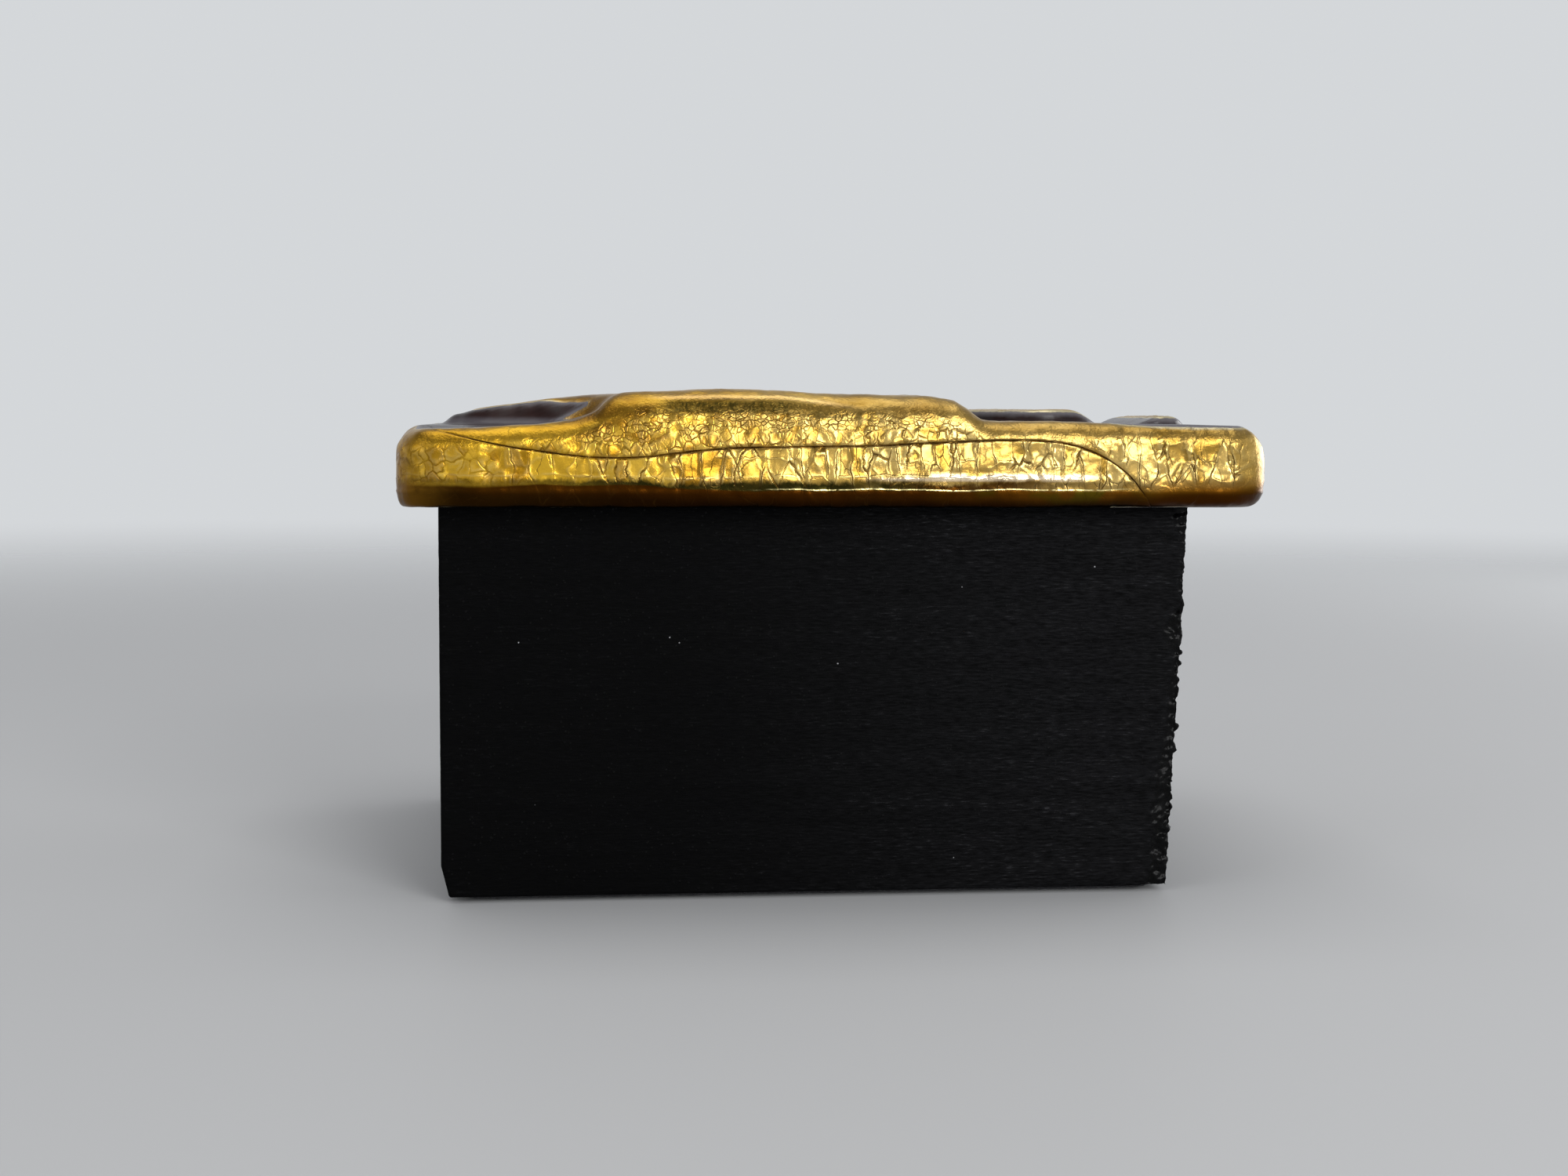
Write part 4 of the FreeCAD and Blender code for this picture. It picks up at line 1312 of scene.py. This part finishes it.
# The block
@dataclass
class HollowBlock:
    """The painted wooden block with its hollow and its torn right end.

    lean is how far the torn end draws in at the foot, and foot the depth and the height of the
    chamfer at the other end. steps and rows are how finely the sides are divided.
    """

    lean: float = 2.6
    foot: tuple = (1.3, 5.3)
    wall: float = 12.0
    cavity_depth: float = 53.0
    cavity_corner: float = 8.0
    edge: float = 0.35
    rim_edge: float = 0.5
    torn_edge: float = 1.3
    steps: int = 560
    rows: int = 212
    wood: ClayNoise = field(default_factory=lambda: ClayNoise(23))

    def __post_init__(self) -> None:
        """Read the block's box."""
        self.low, self.high = box_of("base_block")
        self.half = (self.high - self.low)[:2] / 2

    def close_steps(self) -> tuple[Array, ...]:
        """Walk round the block and its hollow, in steps that are short at the torn end.

        Returns:
            Places and directions outwards round the block, and the same round the hollow.
        """
        counts = (3000, 2600)
        outer = rounded_loop(*self.half, 0.5, counts)
        inner = rounded_loop(*(self.half - self.wall), self.cavity_corner, counts)
        place = outer[0]
        off = self.half - np.abs(place)
        weight = 1 + 3.0 * smooth_step(9.0, 4.0, self.half[0] - place[:, 0])
        weight += 5.0 * smooth_step(1.6, 0.8, off[:, 0] + off[:, 1])
        walked = np.cumsum(weight * np.linalg.norm(np.roll(place, -1, 0) - place, axis=1))
        kept = np.searchsorted(walked, np.arange(self.steps) / self.steps * walked[-1])
        return tuple(line[kept] for line in (*outer, *inner))

    def drawn_in(self, points: Array) -> Array:
        """Return points of the straight block, with the ends drawn in as on the real one."""
        height = points[:, 2] - self.low[2]
        tall = self.high[2] - self.low[2]
        left = self.foot[0] * np.clip(1 - height / self.foot[1], 0, 1)
        right = self.lean * (1 - height / tall)
        share = (points[:, 0] + self.half[0]) / (2 * self.half[0])
        moved = points.copy()
        moved[:, 0] += left * (1 - share) - right * share
        return moved

    def build(self, finish: BlackPaintedWood, material: bpy.types.Material) -> None:
        """Build and dress the block."""
        loop, outward, inner, inner_out = self.close_steps()
        rings = []
        top_edge = self.edge + (self.torn_edge - self.edge) * smooth_step(0.3, 0.9, outward[:, 0])
        for angle in np.linspace(0, math.pi / 2, 5):
            rings.append(ring_at(loop - outward * self.edge * (1 - math.sin(angle)),
                                 self.low[2] + self.edge * (1 - math.cos(angle))))
        tall = self.high[2] - top_edge - self.low[2] - self.edge
        for k in range(1, self.rows):
            rings.append(ring_at(loop, self.low[2] + self.edge + tall * k / self.rows))
        for angle in np.linspace(0, math.pi / 2, 7):
            rings.append(ring_at(loop - outward * (top_edge * (1 - math.cos(angle)))[:, None],
                                 self.high[2] - top_edge * (1 - math.sin(angle))))
        outer_rows = len(rings)
        rim_start = rings[-1][:, :2]
        rim_end = inner + inner_out * self.rim_edge
        for share in np.linspace(0, 1, 15)[1:]:
            rings.append(ring_at(rim_start + (rim_end - rim_start) * share, self.high[2]))
        for angle in np.linspace(0, math.pi / 2, 4)[1:]:
            rings.append(ring_at(inner + inner_out * self.rim_edge * (1 - math.sin(angle)),
                                 self.high[2] - self.rim_edge * (1 - math.cos(angle))))
        for depth in np.linspace(1.2, self.cavity_depth, 14):
            rings.append(ring_at(inner, self.high[2] - depth))
        piece = stacked_piece("hollow_block", rings)
        points = mesh_points(piece.data)
        normals = mesh_normals(piece.data)
        skin = (np.arange(len(points)) < outer_rows * len(loop)).astype(float)
        skin *= smooth_step(0.0, 0.5, self.high[2] - points[:, 2])
        torn = self.torn_of(points, normals) * skin
        grain = self.wood.layered(points, (16.0, 1.4, 1.4), 2)
        push = 0.02 * skin * grain + self.tear_depth(points, normals, skin)
        move_points(piece.data, self.drawn_in(points + normals * push[:, None]))
        store(piece.data, "torn", torn)
        piece.data.set_sharp_from_angle(angle=math.radians(62.0))
        settle(piece, "base", finish.slot, material, "base_block")

    def torn_of(self, points: Array, normals: Array) -> Array:
        """Return 1 on the torn end and on the ragged margin beside it, and 0 elsewhere."""
        height = points[:, 2] - self.low[2]
        margin = 2.6 + 1.2 * self.wood.at(points * (0.0, 0.4, 1.0), 5.0)
        margin += 2.0 * smooth_step(20.0, 2.0, height)
        off = self.half[0] - points[:, 0] + 0.5 * self.wood.at(points, 1.1)
        ragged = smooth_step(margin, margin - 0.9, off)
        return np.maximum(smooth_step(0.3, 0.8, normals[:, 0]), ragged)

    def tear_depth(self, points: Array, normals: Array, skin: Array) -> Array:
        """Return how far the torn wood stands out: waves, lumps, splinters and pits."""
        end = smooth_step(0.25, 0.8, normals[:, 0])
        wave = 0.30 * self.wood.at(points + 5.0, (40.0, 9.0, 7.5))
        lump = 1.05 * np.abs(self.wood.layered(points, (2.6, 4.5, 1.8), 3)) - 0.66
        teeth = 0.27 * self.wood.at(points + 31.0, (4.0, 2.0, 0.75))
        broken = self.torn_of(points, normals) * (1 - end)
        pits = 0.42 * self.wood.layered(points + 57.0, (1.3, 1.3, 0.8), 3) - 0.16
        return skin * (end * (wave + lump + teeth) + broken * pits)


# The felts and the board
class Hold(Enum):
    """How a felt is held: laid loose, or glued taut to what it rests on."""

    LAID = "laid"
    STRETCHED = "stretched"


@dataclass
class SoftSlab:
    """A flat piece with a plan like a round-cornered rectangle: felt, board or sole."""

    node: str
    corner: float
    edge: float
    rough: float
    counts: tuple = (150, 110)
    rings_in: int = 26
    clear: float = 0.03
    grain: ClayNoise = field(default_factory=lambda: ClayNoise(37))

    def build(self, name: str) -> bpy.types.Object:
        """Return the closed piece over its node, with rounded and slightly uneven edges."""
        low, high = box_of(self.node)
        middle = (low + high)[:2] / 2
        half = (high - low)[:2] / 2 - self.clear
        loop, outward = rounded_loop(*half, self.corner, self.counts, tuple(middle))
        wander = self.rough * self.grain.layered(ring_at(loop, 0.0), 3.0, 4)
        loop = loop + outward * (wander - self.rough)[:, None]
        rings = []
        reach = float(half.min()) * 0.96

        def flat_rings(height: float, order: Sequence[int]) -> None:
            """Add the rings of one face, the outermost at the edge's rounding."""
            for k in order:
                share = (k / self.rings_in) ** 1.15
                inset = self.edge + share * (reach - self.edge)
                shrink = (half - inset) / half
                place = middle + (loop - middle) * shrink
                rings.append(ring_at(place, height))

        flat_rings(low[2], range(self.rings_in, 0, -1))
        tall = high[2] - low[2]
        for angle in np.linspace(0, math.pi, 9):
            side = (1 - math.sin(angle)) * self.edge
            height = low[2] + tall / 2 - math.cos(angle) * tall / 2
            rings.append(ring_at(loop - outward * side, height))
        flat_rings(high[2], range(1, self.rings_in + 1))
        piece = stacked_piece(name, rings)
        points = mesh_points(piece.data)
        lift = 0.06 * self.rough * self.grain.layered(points, 0.9, 2)
        lift += 0.3 * self.rough * self.grain.layered(points, 9.0, 2)
        up = points[:, 2] > low[2] + 0.7 * tall
        points[:, 2] -= np.where(up, np.abs(lift), 0.0)
        move_points(piece.data, points)
        return piece


@dataclass
class WallFelt:
    """One strip of felt round half of the hollow's wall."""

    node: str
    side: int
    corner: float = 8.0
    thick: float = 0.94
    wool: ClayNoise = field(default_factory=lambda: ClayNoise(41))

    def build(self, name: str) -> bpy.types.Object:
        """Return the closed strip."""
        low, high = box_of(self.node)
        half = np.array([(high[0] - low[0]) / 2, high[1] - low[1]]) - 0.03
        loop, outward = rounded_loop(*half, self.corner, (180, 130))
        keep = loop[:, 1] * self.side > 0.15
        start = int(np.argmax(keep & ~np.roll(keep, 1)))
        order = [(start + k) % len(loop) for k in range(int(keep.sum()))]
        path, out = loop[order], outward[order]
        tall = high[2] - low[2]
        section = []
        for share in np.linspace(0, 1, 41):
            section.append((self.thick, 0.03 + (tall - 0.06) * share))
        section.append((self.thick / 2, tall + 0.25))
        for share in np.linspace(1, 0, 9):
            section.append((0.0, 0.03 + (tall - 0.06) * share))
        section.append((self.thick / 2, 0.0))
        stations = []
        for spot, way in zip(path, out):
            rows = [(*(spot - way * inward), low[2] + height) for inward, height in section]
            stations.append(np.array(rows))
        piece = stacked_piece(name, stations)
        points = mesh_points(piece.data)
        normals = mesh_normals(piece.data)
        fuzz = 0.05 * self.wool.layered(points, 1.1, 2) + 0.10 * self.wool.layered(points, 12.0, 2)
        facing = np.abs(normals[:, 2]) < 0.8
        centre = np.clip(np.hypot(points[:, 0] / half[0], points[:, 1] / half[1]), 0, 2)
        points -= normals * (facing * np.abs(fuzz) * (centre < 1.5))[:, None]
        crest = points[:, 2] > high[2] - 0.7
        points[:, 2] += np.where(crest, -0.15 + 0.25 * self.wool.layered(points, 5.0, 3), 0.0)
        move_points(piece.data, points)
        bm = bmesh.new()
        bm.from_mesh(piece.data)
        bmesh.ops.recalc_face_normals(bm, faces=bm.faces[:])
        bm.to_mesh(piece.data)
        bm.free()
        return piece


@dataclass
class AdhesivePads:
    """Four squeezed discs of adhesive between the ceramic and the board."""

    radius: float = 9.0
    wet: ClayNoise = field(default_factory=lambda: ClayNoise(53))

    def build(self) -> bpy.types.Object:
        """Return the four discs as one piece."""
        low, high = box_of("adhesive_pads")
        points, faces = [], []
        steps = 72
        turn = np.linspace(0, 2 * math.pi, steps, endpoint=False)
        way = np.stack([np.cos(turn), np.sin(turn)], 1)
        for x, y in itertools.product((low[0] + self.radius, high[0] - self.radius),
                                      (low[1] + self.radius, high[1] - self.radius)):
            place = np.array((x, y)) + way * self.radius
            wander = 0.9 * self.wet.layered(ring_at(place, 0.0), 5.0, 2) - 0.5
            start = len(points)
            rings = []
            for angle in np.linspace(0, math.pi, 7):
                bulge = 0.5 * math.sin(angle) - 0.5
                height = low[2] + (high[2] - low[2]) * (0.5 - 0.5 * math.cos(angle))
                rings.append(ring_at(place + way * (wander + bulge)[:, None], height))
            points.extend(np.concatenate(rings).tolist())
            faces.extend((stack_faces(7, steps) + start).tolist())
            faces.append([start + k for k in range(steps)][::-1])
            faces.append([start + 6 * steps + k for k in range(steps)])
        return new_piece("squeezed_adhesive", np.array(points), faces)


# Stage, lamps and camera
@dataclass
class Studio:
    """Pale floor, soft lamps and the camera at the photograph's angle."""

    camera_place: tuple = (-41.3, -401.5, 81.9)
    yaw: float = math.radians(5.72)
    pitch: float = math.radians(4.72)
    roll: float = math.radians(0.29)
    focal_pixels: float = 2700.0
    image_width: float = 2000.0
    sensor: float = 36.0
    wall_colour: tuple = (0.66, 0.68, 0.70, 1.0)
    ceiling_colour: tuple = (0.24, 0.24, 0.25, 1.0)
    floor_colour: tuple = (0.60, 0.605, 0.61, 1.0)

    def build_floor(self) -> None:
        """Lay the pale floor, which fades into the surroundings far away."""
        turn = np.linspace(0, 2 * math.pi, 96, endpoint=False)
        ring = np.stack([np.cos(turn), np.sin(turn)], 1) * 3000.0
        floor = new_piece("studio_floor", ring_at(ring, 0.0), [list(range(96))])
        made, bench = new_material("studio_floor")
        far = bench.object_place().length().rise(260.0, 1300.0, 1.0, 0.0)
        bench.dress({"Base Color": self.floor_colour, "Roughness": 0.6, "Specular IOR Level": 0.3,
                     "Alpha": far})
        floor.data.materials.append(made)

    def build_world(self) -> None:
        """Set the plain pale surroundings, under a dim ceiling."""
        world = bpy.data.worlds.new("studio")
        bpy.context.scene.world = world
        world.use_nodes = True
        bench = Bench(world.node_tree)
        backdrop = world.node_tree.nodes["Background"]
        up = bench.result("ShaderNodeTexCoord", "Generated").axis("Z")
        room = bench.shade(up.rise(0.30, 0.75), self.wall_colour, self.ceiling_colour)
        bench.join(backdrop.inputs["Color"], room)
        backdrop.inputs["Strength"].default_value = 1.0

    def add_lamp(self, name: str, place: tuple, aim: tuple, size: tuple, power: float) -> None:
        """Add a soft rectangular lamp.

        Args:
            name: its name.
            place: its middle, in millimetres.
            aim: what it points at.
            size: its width and height.
            power: its output in watts.
        """
        light = bpy.data.lights.new(name, "AREA")
        light.shape = "RECTANGLE"
        light.size, light.size_y = (edge * MM for edge in size)
        light.energy = power
        lamp = new_object(name, light)
        lamp.location = Vector(place) * MM
        lamp.rotation_euler = (Vector(aim) - Vector(place)).to_track_quat("-Z", "Y").to_euler()
        lamp.visible_camera = False

    def add_camera(self) -> None:
        """Place the camera where the photograph was taken."""
        forward = Vector((math.sin(self.yaw), math.cos(self.yaw), 0.0))
        right = Vector((math.cos(self.yaw), -math.sin(self.yaw), 0.0))
        up = Vector((0.0, 0.0, 1.0))
        ahead = math.cos(self.pitch) * forward - math.sin(self.pitch) * up
        over = math.cos(self.pitch) * up + math.sin(self.pitch) * forward
        side = math.cos(self.roll) * right + math.sin(self.roll) * over
        over = -math.sin(self.roll) * right + math.cos(self.roll) * over
        turned = Matrix((side, over, -ahead)).transposed().to_4x4()
        data = bpy.data.cameras.new("camera")
        data.sensor_fit = "HORIZONTAL"
        data.sensor_width = self.sensor
        data.lens = self.focal_pixels / self.image_width * self.sensor
        data.clip_start = 0.01
        camera = new_object("camera", data)
        camera.matrix_world = Matrix.Translation(Vector(self.camera_place) * MM) @ turned
        bpy.context.scene.camera = camera

    def build(self) -> None:
        """Set up the whole studio."""
        bpy.context.scene.view_settings.view_transform = "Standard"
        self.build_floor()
        self.build_world()
        self.add_lamp("window_right", (370, -900, 390), (0, 0, 60), (430, 460), 4.3)
        self.add_lamp("window_left", (-750, -600, 420), (0, 0, 60), (380, 480), 0.6)
        self.add_lamp("window_far", (720, 350, 120), (60, 0, 72), (600, 300), 1.6)
        self.add_lamp("overhead", (0, 60, 900), (0, 0, 60), (700, 700), 2.4)
        self.add_camera()


def add_felts() -> None:
    lining = PressedFelt("lining_felt", (0.075, 0.020, 0.038, 1.0), (0.17, 0.06, 0.095, 1.0))
    wine = lining.material()
    dark = PressedFelt("dark_felt", (0.018, 0.018, 0.020, 1.0), (0.07, 0.07, 0.075, 1.0))
    sole = SoftSlab("sole_felt", 2.6, 0.25, 0.35).build("felt_sole")
    settle(sole, "base", dark.slot, dark.material(), "sole_felt")
    floor = SoftSlab("cavity_floor_felt", 8.0, 0.3, 0.15).build("lining_floor")
    settle(floor, "base", lining.slot, wine, "cavity_floor_felt")
    face = SoftSlab("board_felt", 5.8, 0.3, 0.25).build("board_face_felt")
    settle(face, "lid", lining.slot, wine, "board_felt")
    for node, side in (("front_wall_felt", -1), ("back_wall_felt", 1)):
        wall = WallFelt(node, side)
        strip = wall.build("lining_" + node)
        settle(strip, "base", lining.slot, wine, node)


def main() -> None:
    """Build every piece in order."""
    logging.basicConfig(level=logging.INFO, format="%(name)s: %(message)s")
    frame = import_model()
    glaze = GoldCrackleGlaze()
    lid = CeramicLid(frame["nodes"])
    gold = glaze.material()
    lid.build_slabs(glaze, gold)
    for name in PLATE_NODES:
        lid.build_plate(name, glaze, gold)
    wood = BlackPaintedWood()
    HollowBlock().build(wood, wood.material("black_painted_wood"))
    board = SoftSlab("locating_board", 5.8, 0.5, 0.05).build("painted_board")
    settle(board, "lid", wood.slot, wood.material("black_painted_board"), "locating_board")
    add_felts()
    adhesive = CuredAdhesive()
    settle(AdhesivePads().build(), "lid", adhesive.slot, adhesive.material(), "adhesive_pads")
    Studio().build()


if __name__ == "__main__":
    main()
